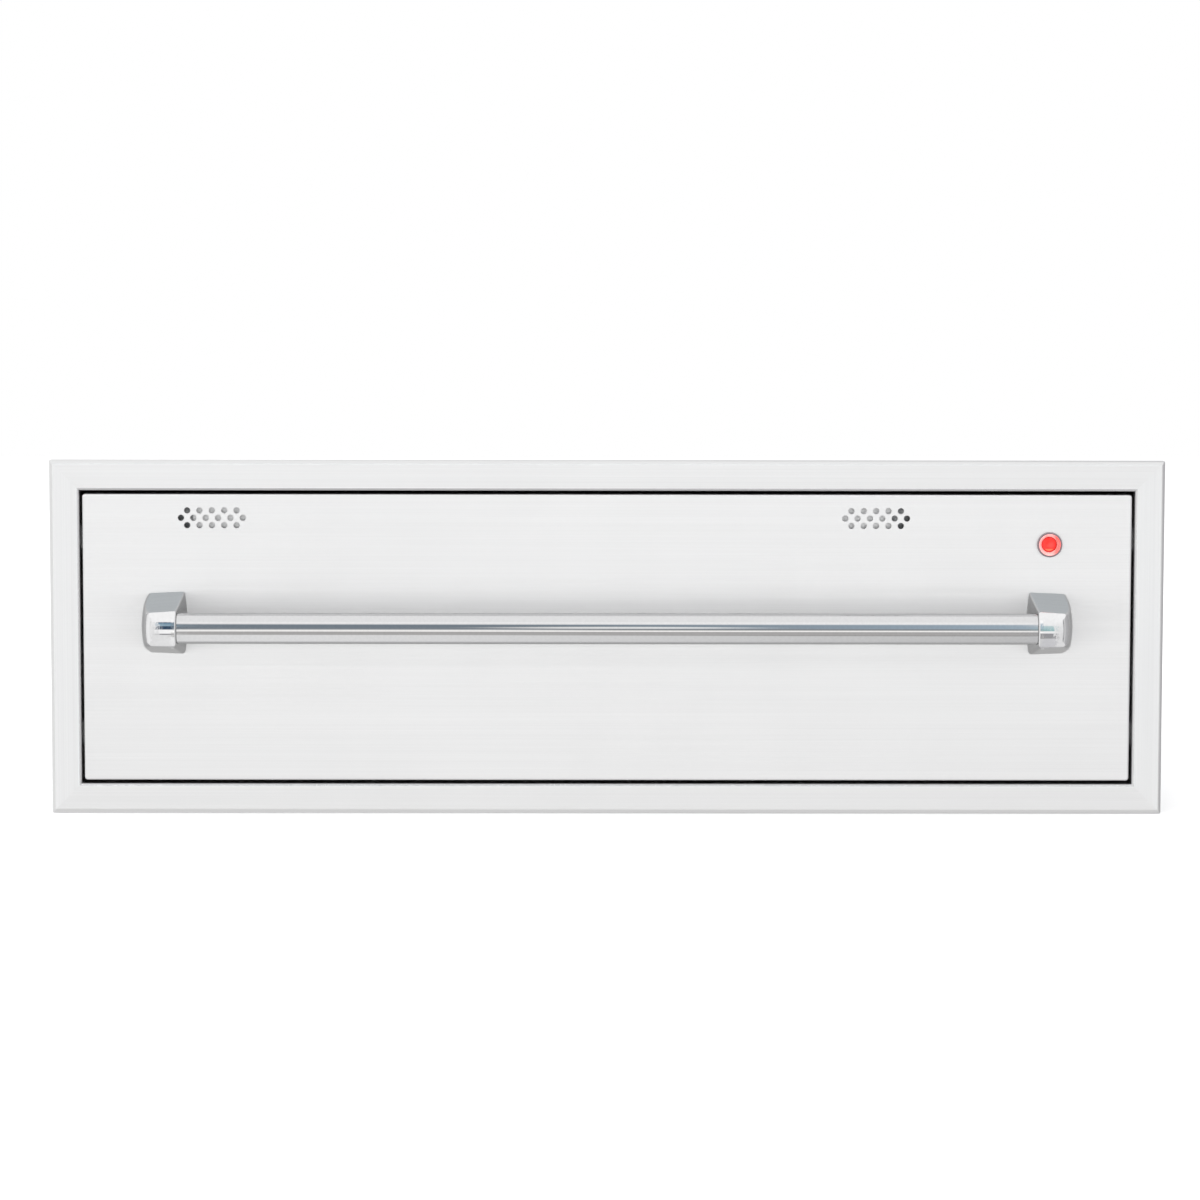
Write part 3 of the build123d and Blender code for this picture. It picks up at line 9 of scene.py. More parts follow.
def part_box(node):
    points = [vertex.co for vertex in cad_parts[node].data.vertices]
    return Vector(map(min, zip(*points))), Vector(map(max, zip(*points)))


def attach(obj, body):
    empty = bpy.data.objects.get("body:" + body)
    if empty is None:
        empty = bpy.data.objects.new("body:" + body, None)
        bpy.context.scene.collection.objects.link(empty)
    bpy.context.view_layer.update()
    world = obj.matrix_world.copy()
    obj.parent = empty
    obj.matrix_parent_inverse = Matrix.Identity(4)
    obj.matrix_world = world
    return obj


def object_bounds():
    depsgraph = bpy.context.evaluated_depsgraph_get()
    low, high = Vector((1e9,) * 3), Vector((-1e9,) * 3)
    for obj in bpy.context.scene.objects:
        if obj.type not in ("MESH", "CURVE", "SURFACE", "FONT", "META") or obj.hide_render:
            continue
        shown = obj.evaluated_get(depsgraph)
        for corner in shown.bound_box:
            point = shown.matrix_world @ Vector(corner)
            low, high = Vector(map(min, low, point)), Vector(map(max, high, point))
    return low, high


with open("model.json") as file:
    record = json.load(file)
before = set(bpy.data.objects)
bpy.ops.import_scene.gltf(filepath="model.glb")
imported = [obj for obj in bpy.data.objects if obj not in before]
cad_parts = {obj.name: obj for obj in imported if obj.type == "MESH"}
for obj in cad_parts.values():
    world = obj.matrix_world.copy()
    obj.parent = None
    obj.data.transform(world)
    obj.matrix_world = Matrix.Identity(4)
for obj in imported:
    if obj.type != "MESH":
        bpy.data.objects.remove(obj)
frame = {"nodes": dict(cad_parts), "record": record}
CAD_BOUNDS = [list(c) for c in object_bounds()]
NODES = frame["nodes"]
scene = bpy.context.scene
scene.view_settings.view_transform = "Standard"
scene.view_settings.look = "None"
scene.view_settings.exposure = 0.0
scene.view_settings.gamma = 1.0


# ------------------------------------------------------------------ camera
def make_camera():
    yaw, pitch, roll = math.radians(0.150), math.radians(4.942), math.radians(0.075)
    fwd = Vector((math.sin(yaw) * math.cos(pitch), math.cos(yaw) * math.cos(pitch), -math.sin(pitch)))
    right = Vector((math.cos(yaw), -math.sin(yaw), 0.0))
    up = right.cross(fwd)
    right, up = right * math.cos(roll) + up * math.sin(roll), up * math.cos(roll) - right * math.sin(roll)
    data = bpy.data.cameras.new("camera")
    data.sensor_fit = "HORIZONTAL"
    data.sensor_width = 36.0
    data.lens = 36.0 * 3889.0 / 1200.0
    data.clip_start, data.clip_end = 0.05, 100.0
    cam = bpy.data.objects.new("camera", data)
    scene.collection.objects.link(cam)
    m = Matrix.Identity(4)
    for i in range(3):
        m[i][0], m[i][1], m[i][2] = right[i], up[i], -fwd[i]
    m[0][3], m[1][3], m[2][3] = -0.01435, -3.2371, 0.3104
    cam.matrix_world = m
    scene.camera = cam
    return cam


make_camera()


# ------------------------------------------------------------------ node helpers
class Graph:
    """A small helper around one material's or world's node tree."""

    def __init__(self, tree):
        self.tree = tree
        self.nodes = tree.nodes
        self.links = tree.links

    def add(self, kind, **props):
        n = self.nodes.new(kind)
        for k, v in props.items():
            setattr(n, k, v)
        return n

    def put(self, value, socket):
        if isinstance(value, bpy.types.NodeSocket):
            self.links.new(value, socket)
        else:
            socket.default_value = value

    def math(self, op, a, b=0.0, c=None, clamp=False):
        n = self.add("ShaderNodeMath", operation=op, use_clamp=clamp)
        self.put(a, n.inputs[0])
        self.put(b, n.inputs[1])
        if c is not None:
            self.put(c, n.inputs[2])
        return n.outputs[0]

    def vmath(self, op, a, b=(0, 0, 0)):
        n = self.add("ShaderNodeVectorMath", operation=op)
        self.put(a, n.inputs[0])
        self.put(b, n.inputs[1])
        return n.outputs[0]

    def noise(self, vector, scale, detail=2.0, rough=0.5, dist=0.0):
        n = self.add("ShaderNodeTexNoise")
        self.put(vector, n.inputs["Vector"])
        n.inputs["Scale"].default_value = scale
        n.inputs["Detail"].default_value = detail
        n.inputs["Roughness"].default_value = rough
        n.inputs["Distortion"].default_value = dist
        return n.outputs["Fac"]

    def range(self, value, a, b, c, d, smooth=False):
        n = self.add("ShaderNodeMapRange")
        if smooth:
            n.interpolation_type = "SMOOTHSTEP"
        self.put(value, n.inputs["Value"])
        n.inputs["From Min"].default_value = a
        n.inputs["From Max"].default_value = b
        n.inputs["To Min"].default_value = c
        n.inputs["To Max"].default_value = d
        return n.outputs["Result"]

    def mix(self, fac, a, b, mode="MIX"):
        n = self.add("ShaderNodeMix", data_type="RGBA", blend_type=mode)
        self.put(fac, n.inputs["Factor"])
        self.put(a, n.inputs["A"])
        self.put(b, n.inputs["B"])
        return n.outputs["Result"]

    def scale3(self, vector, s):
        n = self.add("ShaderNodeMapping", vector_type="POINT")
        self.put(vector, n.inputs["Vector"])
        n.inputs["Scale"].default_value = s
        return n.outputs[0]

    def bump(self, height, strength, distance, normal=None):
        n = self.add("ShaderNodeBump")
        n.inputs["Strength"].default_value = strength
        n.inputs["Distance"].default_value = distance
        self.put(height, n.inputs["Height"])
        if normal is not None:
            self.put(normal, n.inputs["Normal"])
        return n.outputs["Normal"]


def rgb(r, g, b):
    return (r, g, b, 1.0)


def new_material(name):
    mat = bpy.data.materials.new(name)
    mat.use_nodes = True
    g = Graph(mat.node_tree)
    bsdf = next(n for n in g.nodes if n.type == "BSDF_PRINCIPLED")
    coords = g.add("ShaderNodeTexCoord").outputs["Object"]
    return mat, g, bsdf, coords


def tint(color, k):
    return rgb(min(1.0, color[0] * k), min(1.0, color[1] * k), min(1.0, color[2] * k))


def brushed(name, color, grain="X", rough=0.34, aniso=0.7, metallic=1.0, streak=0.05, bump=0.10, mottle=0.03, smudge=0.05, fine=1.0):
    """Sheet metal with a directional grain: long fine scratches, a slight cloudiness, and faint smudges in the gloss."""
    mat, g, bsdf, co = new_material(name)
    along, across = 2.2, 900.0 * fine
    stretch = {"X": (along, across, across), "Y": (across, along, across), "Z": (across, across, along)}[grain]
    hair = g.noise(g.scale3(co, stretch), 1.0, 3.0, 0.65)
    wide = {"X": (0.8, 130.0, 130.0), "Y": (130.0, 0.8, 130.0), "Z": (130.0, 130.0, 0.8)}[grain]
    band = g.noise(g.scale3(co, wide), 1.0, 2.0, 0.5)
    cloud = g.noise(co, 3.5, 3.0, 0.5)
    smear = g.noise(co, 11.0, 4.0, 0.6, 0.4)
    tone = g.math("ADD", g.range(hair, 0.3, 0.7, -streak, streak), g.range(band, 0.3, 0.7, -streak * 0.4, streak * 0.4))
    tone = g.math("ADD", tone, g.range(cloud, 0.3, 0.7, -mottle, mottle))
    c = g.mix(g.range(tone, -0.12, 0.12, 0.0, 1.0), tint(color, 0.88), tint(color, 1.12))
    g.put(c, bsdf.inputs["Base Color"])
    r = g.math("ADD", g.range(hair, 0.3, 0.7, rough - 0.05, rough + 0.05), g.range(smear, 0.42, 0.7, 0.0, smudge))
    g.put(r, bsdf.inputs["Roughness"])
    bsdf.inputs["Metallic"].default_value = metallic
    bsdf.inputs["Anisotropic"].default_value = aniso
    t = g.add("ShaderNodeCombineXYZ")
    t.inputs[{"X": 0, "Y": 1, "Z": 2}[grain]].default_value = 1.0
    v = g.add("ShaderNodeVectorTransform", vector_type="VECTOR", convert_from="OBJECT", convert_to="WORLD")
    g.links.new(t.outputs[0], v.inputs[0])
    g.links.new(v.outputs[0], bsdf.inputs["Tangent"])
    g.put(g.bump(hair, bump, 0.0002), bsdf.inputs["Normal"])
    return mat


def polished(name, color, rough=0.06, wear=0.10, ripple=0.05, grain=None, edge=0.85):
    """Polished or plated metal: nearly a mirror, with hairline wiping marks and a light haze in places."""
    mat, g, bsdf, co = new_material(name)
    haze = g.noise(co, 26.0, 4.0, 0.6, 0.3)
    speck = g.noise(co, 420.0, 2.0, 0.5)
    stretch = {"X": (1.5, 2600.0, 2600.0), "Y": (2600.0, 1.5, 2600.0), None: (300.0, 300.0, 300.0)}[grain]
    hair = g.noise(g.scale3(co, stretch), 1.0, 2.0, 0.6)
    r = g.math("ADD", g.range(haze, 0.45, 0.75, rough, rough + wear * 0.6), g.range(hair, 0.55, 0.8, 0.0, wear * 0.4))
    g.put(r, bsdf.inputs["Roughness"])
    g.put(g.mix(g.range(speck, 0.35, 0.65, 0.0, 1.0), tint(color, 0.985), tint(color, 1.015)), bsdf.inputs["Base Color"])
    bsdf.inputs["Metallic"].default_value = 1.0
    bsdf.inputs["Specular Tint"].default_value = rgb(edge, edge, edge)
    wave = g.noise(g.scale3(co, (0.25, 1.0, 1.0) if grain == "X" else (1.0, 1.0, 1.0)), 14.0, 2.0, 0.4)
    n = g.bump(wave, ripple, 0.0008)
    if grain is None:
        n = g.bump(hair, 0.03, 0.0001, n)
    g.put(n, bsdf.inputs["Normal"])
    return mat


def plated(name, color, rough=0.28, spangle=0.05, bump=0.08):
    """Zinc-plated steel and plain fasteners: a soft metallic sheen with a faint crystalline mottle."""
    mat, g, bsdf, co = new_material(name)
    v = g.add("ShaderNodeTexVoronoi", feature="F1")
    g.put(co, v.inputs["Vector"])
    v.inputs["Scale"].default_value = 260.0
    cells = g.add("ShaderNodeSeparateColor")
    g.links.new(v.outputs["Color"], cells.inputs[0])
    cloud = g.noise(co, 30.0, 4.0, 0.6)
    tone = g.math("ADD", g.range(cells.outputs[0], 0.0, 1.0, -spangle, spangle), g.range(cloud, 0.3, 0.7, -0.05, 0.05))
    g.put(g.mix(g.range(tone, -0.12, 0.12, 0.0, 1.0), tint(color, 0.85), tint(color, 1.15)), bsdf.inputs["Base Color"])
    g.put(g.math("ADD", g.range(cells.outputs[0], 0.0, 1.0, rough - 0.05, rough + 0.05), g.range(cloud, 0.4, 0.75, 0.0, 0.12)), bsdf.inputs["Roughness"])
    bsdf.inputs["Metallic"].default_value = 1.0
    g.put(g.bump(g.noise(co, 900.0, 2.0, 0.5), bump, 0.0002), bsdf.inputs["Normal"])
    return mat


def moulded(name, color, rough=0.45, grain=0.25, scale=1400.0, spec=0.5):
    """Moulded plastic or rubber: fine spark-erosion texture, uneven gloss, faint dusty patches."""
    mat, g, bsdf, co = new_material(name)
    tex = g.noise(co, scale, 3.0, 0.6)
    cloud = g.noise(co, 45.0, 3.0, 0.55)
    g.put(g.mix(g.range(cloud, 0.35, 0.7, 0.0, 1.0), tint(color, 0.92), rgb(color[0] * 1.06 + 0.006, color[1] * 1.06 + 0.006, color[2] * 1.06 + 0.006)), bsdf.inputs["Base Color"])
    g.put(g.math("ADD", g.range(tex, 0.3, 0.7, rough - 0.06, rough + 0.06), g.range(cloud, 0.4, 0.7, 0.0, 0.08)), bsdf.inputs["Roughness"])
    bsdf.inputs["Specular IOR Level"].default_value = spec
    g.put(g.bump(tex, grain, 0.0002), bsdf.inputs["Normal"])
    return mat


MATS = {}
MATS["front_steel"] = brushed("front_steel", (0.86, 0.86, 0.86), "X", rough=0.46, aniso=0.80, streak=0.030, mottle=0.006, smudge=0.015)
MATS["trim_steel"] = brushed("trim_steel", (0.82, 0.82, 0.82), "X", rough=0.44, aniso=0.78, streak=0.030, mottle=0.006, smudge=0.015)
MATS["trim_steel_side"] = brushed("trim_steel_side", (0.83, 0.83, 0.83), "Z", rough=0.44, aniso=0.70, streak=0.030, mottle=0.006, smudge=0.015)
MATS["casing_steel"] = brushed("casing_steel", (0.60, 0.61, 0.62), "Y", rough=0.36, aniso=0.4, streak=0.03, mottle=0.05, smudge=0.12)
MATS["chassis_steel"] = brushed("chassis_steel", (0.63, 0.64, 0.65), "Y", rough=0.33, aniso=0.4, streak=0.03, mottle=0.05, smudge=0.12)
# painted light: a paler copy of the sheet steel for the plate behind the vent holes
MATS["shield_steel_painted_light"] = brushed("shield_steel_painted_light", (0.90, 0.90, 0.905), "X", rough=0.50, aniso=0.5, streak=0.03, mottle=0.02, smudge=0.04)
MATS["deck_steel"] = brushed("deck_steel", (0.76, 0.76, 0.77), "X", rough=0.33, aniso=0.7, streak=0.04, mottle=0.02, smudge=0.10)
MATS["tub_steel"] = brushed("tub_steel", (0.70, 0.69, 0.68), "X", rough=0.30, aniso=0.6, streak=0.04, mottle=0.04, smudge=0.14)
MATS["zinc_steel"] = plated("zinc_steel", (0.62, 0.64, 0.67))
MATS["fastener_steel"] = plated("fastener_steel", (0.60, 0.60, 0.61), rough=0.22, spangle=0.02, bump=0.04)
MATS["ball_steel"] = polished("ball_steel", (0.66, 0.67, 0.69), rough=0.10)
MATS["bar_steel"] = polished("bar_steel", (0.63, 0.63, 0.635), rough=0.035, wear=0.03, ripple=0.02, grain="X", edge=0.55)
MATS["bracket_chrome"] = polished("bracket_chrome", (0.76, 0.76, 0.765), rough=0.012, wear=0.016, ripple=0.01, edge=0.5)
# painted shade and painted blue reflection: a darker, bluer copy of the chrome for the brackets' top slopes
MATS["bracket_top_painted_blue_shade"] = polished("bracket_top_painted_blue_shade", (0.70, 0.735, 0.755), rough=0.03, wear=0.03, ripple=0.02, edge=0.5)
MATS["bezel_chrome"] = polished("bezel_chrome", (0.70, 0.70, 0.70), rough=0.07, wear=0.05, ripple=0.03)
# painted shade: a dark mauve copy of the chrome for the bezel's outer rim
MATS["bezel_rim_painted_shade"] = polished("bezel_rim_painted_shade", (0.36, 0.27, 0.29), rough=0.12, wear=0.06, ripple=0.02)
# painted shade on the trim's bends: darker copies of the brushed steel, the inner top bend darkest
MATS["trim_outer_bend_painted_shade"] = brushed("trim_outer_bend_painted_shade", (0.72, 0.72, 0.72), "X", rough=0.42, aniso=0.3, streak=0.03, mottle=0.006, smudge=0.015)
MATS["trim_inner_bend_painted_shade"] = brushed("trim_inner_bend_painted_shade", (0.56, 0.56, 0.565), "Z", rough=0.24, aniso=0.2, metallic=0.5, streak=0.03, mottle=0.006, smudge=0.015)
MATS["trim_top_inner_bend_painted_shade"] = brushed("trim_top_inner_bend_painted_shade", (0.42, 0.42, 0.425), "X", rough=0.5, aniso=0.2, metallic=0.1, streak=0.03, mottle=0.006, smudge=0.015)
MATS["knob_black"] = moulded("knob_black", (0.022, 0.022, 0.023), rough=0.42, grain=0.15)
MATS["black_plastic"] = moulded("black_plastic", (0.028, 0.028, 0.029), rough=0.5, grain=0.2)
MATS["white_plastic"] = moulded("white_plastic", (0.72, 0.71, 0.66), rough=0.45, grain=0.1)
MATS["black_rubber"] = moulded("black_rubber", (0.018, 0.018, 0.018), rough=0.75, grain=0.35, spec=0.3)
MATS["ceramic"] = moulded("ceramic", (0.80, 0.77, 0.70), rough=0.6, grain=0.3, scale=900.0)
MATS["element_sheath"] = plated("element_sheath", (0.16, 0.145, 0.13), rough=0.45, spangle=0.01, bump=0.2)
MATS["copper"] = plated("copper", (0.72, 0.36, 0.22), rough=0.30, spangle=0.02)
MATS["cutout_aluminium"] = plated("cutout_aluminium", (0.75, 0.75, 0.76), rough=0.30, spangle=0.02)
MATS["plate_aluminium"] = brushed("plate_aluminium", (0.70, 0.71, 0.72), "X", rough=0.35, aniso=0.7, streak=0.06)
MATS["lead_sleeve"] = moulded("lead_sleeve", (0.42, 0.035, 0.03), rough=0.5, grain=0.3, scale=700.0)


def wool():
    mat, g, bsdf, co = new_material("mineral_wool")
    fibre = g.noise(g.scale3(co, (260.0, 260.0, 900.0)), 1.0, 5.0, 0.75, 0.6)
    lump = g.noise(co, 28.0, 4.0, 0.6)
    g.put(g.mix(g.range(fibre, 0.3, 0.7, 0.0, 1.0), rgb(0.55, 0.50, 0.34), rgb(0.84, 0.80, 0.62)), bsdf.inputs["Base Color"])
    bsdf.inputs["Roughness"].default_value = 0.95
    bsdf.inputs["Specular IOR Level"].default_value = 0.15
    n = g.bump(lump, 0.8, 0.004)
    g.put(g.bump(fibre, 0.8, 0.0008, n), bsdf.inputs["Normal"])
    return mat


def lamp_coords(g, co, node):
    """Distance from the lamp's axis, and the two offsets from it."""
    lo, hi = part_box(node)
    sep = g.add("ShaderNodeSeparateXYZ")
    g.links.new(co, sep.inputs[0])
    dx = g.math("SUBTRACT", sep.outputs[0], (lo[0] + hi[0]) / 2)
    dz = g.math("SUBTRACT", sep.outputs[2], (lo[2] + hi[2]) / 2)
    r = g.math("SQRT", g.math("ADD", g.math("MULTIPLY", dx, dx), g.math("MULTIPLY", dz, dz)))
    return dx, dz, r


def lens():
    """Red lens lit from behind: even over the middle, a narrow dark rim, and a painted warm reflection in a crescent
    low down.
    """
    mat, g, bsdf, co = new_material("red_lens")
    dx, dz, r = lamp_coords(g, co, "lamp_lens")
    body = g.range(r, 0.0050, 0.0063, 1.0, 0.0, smooth=True)
    c = g.mix(body, rgb(0.42, 0.004, 0.005), rgb(1.0, 0.030, 0.022))
    hx = g.math("DIVIDE", g.math("SUBTRACT", dx, 0.0012), 0.0030)
    hz = g.math("DIVIDE", g.math("ADD", dz, 0.0004), 0.0026)
    spot = g.range(g.math("SQRT", g.math("ADD", g.math("MULTIPLY", hx, hx), g.math("MULTIPLY", hz, hz))), 0.2, 1.3, 0.55, 0.0, smooth=True)
    c = g.mix(spot, c, rgb(1.0, 0.090, 0.075))
    # painted reflection: a warm crescent low on the dome, in the base colour and the glow
    painted_reflection_crescent = g.math("MULTIPLY", g.range(dz, -0.0034, -0.0042, 0.0, 1.0, smooth=True), g.range(r, 0.0049, 0.0055, 1.0, 0.0, smooth=True))
    painted_reflection_crescent = g.math("MULTIPLY", painted_reflection_crescent, g.range(g.noise(co, 420.0, 2.0, 0.5), 0.35, 0.6, 0.6, 0.9))
    c = g.mix(painted_reflection_crescent, c, rgb(1.0, 0.24, 0.11))
    cell = g.noise(co, 900.0, 2.0, 0.5)
    c = g.mix(g.range(cell, 0.4, 0.65, 0.0, 0.25), c, rgb(0.85, 0.020, 0.012))
    g.put(g.mix(0.45, c, rgb(0.0, 0.0, 0.0)), bsdf.inputs["Base Color"])
    g.put(c, bsdf.inputs["Emission Color"])
    bsdf.inputs["Emission Strength"].default_value = 0.72
    bsdf.inputs["Roughness"].default_value = 0.22
    bsdf.inputs["Specular IOR Level"].default_value = 0.35
    bsdf.inputs["Coat Weight"].default_value = 0.25
    bsdf.inputs["Coat Roughness"].default_value = 0.06
    g.put(g.bump(cell, 0.10, 0.0002), bsdf.inputs["Normal"])
    return mat


def bezel_cone_painted_red_reflection():
    """The cone round the lens: pale, with a painted red reflection of the lens in its colour and a painted glow from
    its emission, more so on its right.
    """
    mat, g, bsdf, co = new_material("bezel_cone_painted_red_reflection")
    dx, dz, r = lamp_coords(g, co, "lamp_bezel")
    # painted red reflection of the lens: stronger on the right and next to the lens, broken by streaks
    side = g.range(dx, 0.0015, 0.0060, 0.0, 0.75, smooth=True)
    near = g.range(r, 0.0066, 0.0085, 0.45, 0.0, smooth=True)
    streak = g.range(g.noise(co, 700.0, 2.0, 0.5), 0.35, 0.65, -0.12, 0.12)
    fac = g.math("ADD", g.math("MAXIMUM", side, near), streak, clamp=True)
    c = g.mix(fac, rgb(0.92, 0.62, 0.60), rgb(0.95, 0.11, 0.085))
    g.put(c, bsdf.inputs["Base Color"])
    # painted glow: the cone emits its colour, though it is no lamp
    g.put(c, bsdf.inputs["Emission Color"])
    bsdf.inputs["Emission Strength"].default_value = 0.30
    bsdf.inputs["Roughness"].default_value = 0.30
    bsdf.inputs["Coat Weight"].default_value = 0.3
    bsdf.inputs["Coat Roughness"].default_value = 0.10
    g.put(g.bump(g.noise(co, 1600.0, 2.0, 0.5), 0.05, 0.0001), bsdf.inputs["Normal"])
    return mat


MATS["mineral_wool"] = wool()
MATS["red_lens"] = lens()
MATS["bezel_cone_painted_red_reflection"] = bezel_cone_painted_red_reflection()

SLOT_OF = {s["node"]: s["material_slot"] for s in frame["record"]["subparts"]}


def dress(obj, mat):
    obj.data.materials.clear()
    obj.data.materials.append(mat)


for node, obj in NODES.items():
    dress(obj, MATS[SLOT_OF[node]])

# the plate behind the vent holes gets a paler copy of the sheet steel: painted light, lifting it where little light
# reaches it through the holes
dress(NODES["front_shield"], MATS["shield_steel_painted_light"])

# the trim's upright members are brushed along their own length; its bends get darker copies of the steel with their own
# roughness, smoother on the inner bends, a painted shade that is darkest on the inner top bend facing down
trim = NODES["trim_frame"]
for name in ("trim_steel_side", "trim_outer_bend_painted_shade", "trim_inner_bend_painted_shade", "trim_top_inner_bend_painted_shade"):
    trim.data.materials.append(MATS[name])
for p in trim.data.polygons:
    c, n = p.center, p.normal
    side = abs(c[0]) - 0.4385
    tall = abs(c[2]) - 0.1225
    if c[1] < -0.0091 and n[1] > -0.97:
        if side < 0.003 and tall < 0.003:
            p.material_index = 4 if n[2] < -0.1 and c[2] > 0.0 else 3
        else:
            p.material_index = 2
    elif side > 0 and side > tall:
        p.material_index = 1

# the brackets' flat top slopes get a slightly rougher copy of the chrome whose darker, bluer colour is a painted shade
# with a painted blue reflection
for node in ("handle_bracket_left", "handle_bracket_right"):
    mesh = NODES[node].data
    mesh.materials.append(MATS["bracket_top_painted_blue_shade"])
    for p in mesh.polygons:
        if p.normal[2] > 0.93 and p.center[2] > 0.020:
            p.material_index = 1

# the bezel's rolled rim gets a painted shade, a dark mauve ring, and its cone gets a painted red reflection of the lens
# that also glows
bezel = NODES["lamp_bezel"]
lamp_lo, lamp_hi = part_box("lamp_bezel")
for name in ("bezel_rim_painted_shade", "bezel_cone_painted_red_reflection"):
    bezel.data.materials.append(MATS[name])
for p in bezel.data.polygons:
    c = p.center
    r = math.hypot(c[0] - (lamp_lo[0] + lamp_hi[0]) / 2, c[2] - (lamp_lo[2] + lamp_hi[2]) / 2)
    if c[1] < lamp_lo[1] + 0.0052:
        if r > 0.0091:
            p.material_index = 1
        elif p.normal[1] < -0.02:
            p.material_index = 2


# ------------------------------------------------------------------ printed and inlaid details
def prism(bm, outline, z0, z1):
    """A closed upright prism over an outline of (x, y) points given anticlockwise."""
    low = [bm.verts.new((x, y, z0)) for x, y in outline]
    top = [bm.verts.new((x, y, z1)) for x, y in outline]
    bm.faces.new(list(reversed(low)))
    bm.faces.new(top)
    n = len(outline)
    for i in range(n):
        bm.faces.new((low[i], low[(i + 1) % n], top[(i + 1) % n], top[i]))


def rounded_stroke(cx, cy, turn, r0, r1, width, steps=6):
    """Outline of a round-ended stroke from r0 to r1 along the direction turn (clockwise from +Y), about (cx, cy)."""
    ux, uy = math.sin(turn), math.cos(turn)
    h = width / 2
    pts = []
    for r, start in ((r1 - h, -90.0), (r0 + h, 90.0)):
        for i in range(steps + 1):
            a = math.radians(start + 180.0 * i / steps)
            along, aside = h * math.cos(a), h * math.sin(a)
            pts.append((cx + ux * (r + along) - uy * aside, cy + uy * (r + along) + ux * aside))
    return pts


def detail(name, bm, body, slot, mat):
    me = bpy.data.meshes.new(name)
    bm.to_mesh(me)
    bm.free()
    obj = bpy.data.objects.new(name, me)
    scene.collection.objects.link(obj)
    dress(obj, mat)
    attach(obj, body)
    return obj


def dial_details():
    plate_lo, plate_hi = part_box("control_plate")
    knob_lo, knob_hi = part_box("control_knob")
    kx, ky = (knob_lo[0] + knob_hi[0]) / 2, (knob_lo[1] + knob_hi[1]) / 2
    z = plate_hi[2]
    # tick marks printed on the plate, over the knob's turn: a broad one for off, then longer and longer ones
    bm = bmesh.new()
    prism(bm, rounded_stroke(kx, ky, 0.0, 0.0210, 0.0252, 0.0016), z - 0.00002, z + 0.00006)
    for i in range(1, 11):
        a = math.radians(27.0 * i)
        prism(bm, rounded_stroke(kx, ky, a, 0.0210, 0.0228 + 0.00020 * i, 0.0008), z - 0.00002, z + 0.00006)
    detail("dial_marks", bm, "drawer", "knob_black", MATS["knob_black"])
    # pointer line laid into the knob's groove
    bm = bmesh.new()
    prism(bm, rounded_stroke(kx, ky, 0.0, 0.0041, 0.0179, 0.0011, 4), 0.11895, 0.11945)
    detail("knob_pointer", bm, "knob", "white_plastic", MATS["white_plastic"])


dial_details()


# ------------------------------------------------------------------ stage and light
def ramp_of(g, value, stops, lo=-90.0, hi=90.0):
    """A colour ramp over lo..hi with the given (position, colour) stops."""
    ramp = g.add("ShaderNodeValToRGB")
    g.put(g.range(value, lo, hi, 0.0, 1.0), ramp.inputs[0])
    cr = ramp.color_ramp
    while len(cr.elements) > 1:
        cr.elements.remove(cr.elements[-1])
    cr.elements[0].position = (stops[0][0] - lo) / (hi - lo)
    cr.elements[0].color = (*stops[0][1], 1)
    for e, c in stops[1:]:
        el = cr.elements.new((e - lo) / (hi - lo))
        el.color = (*c, 1)
    return ramp.outputs[0]


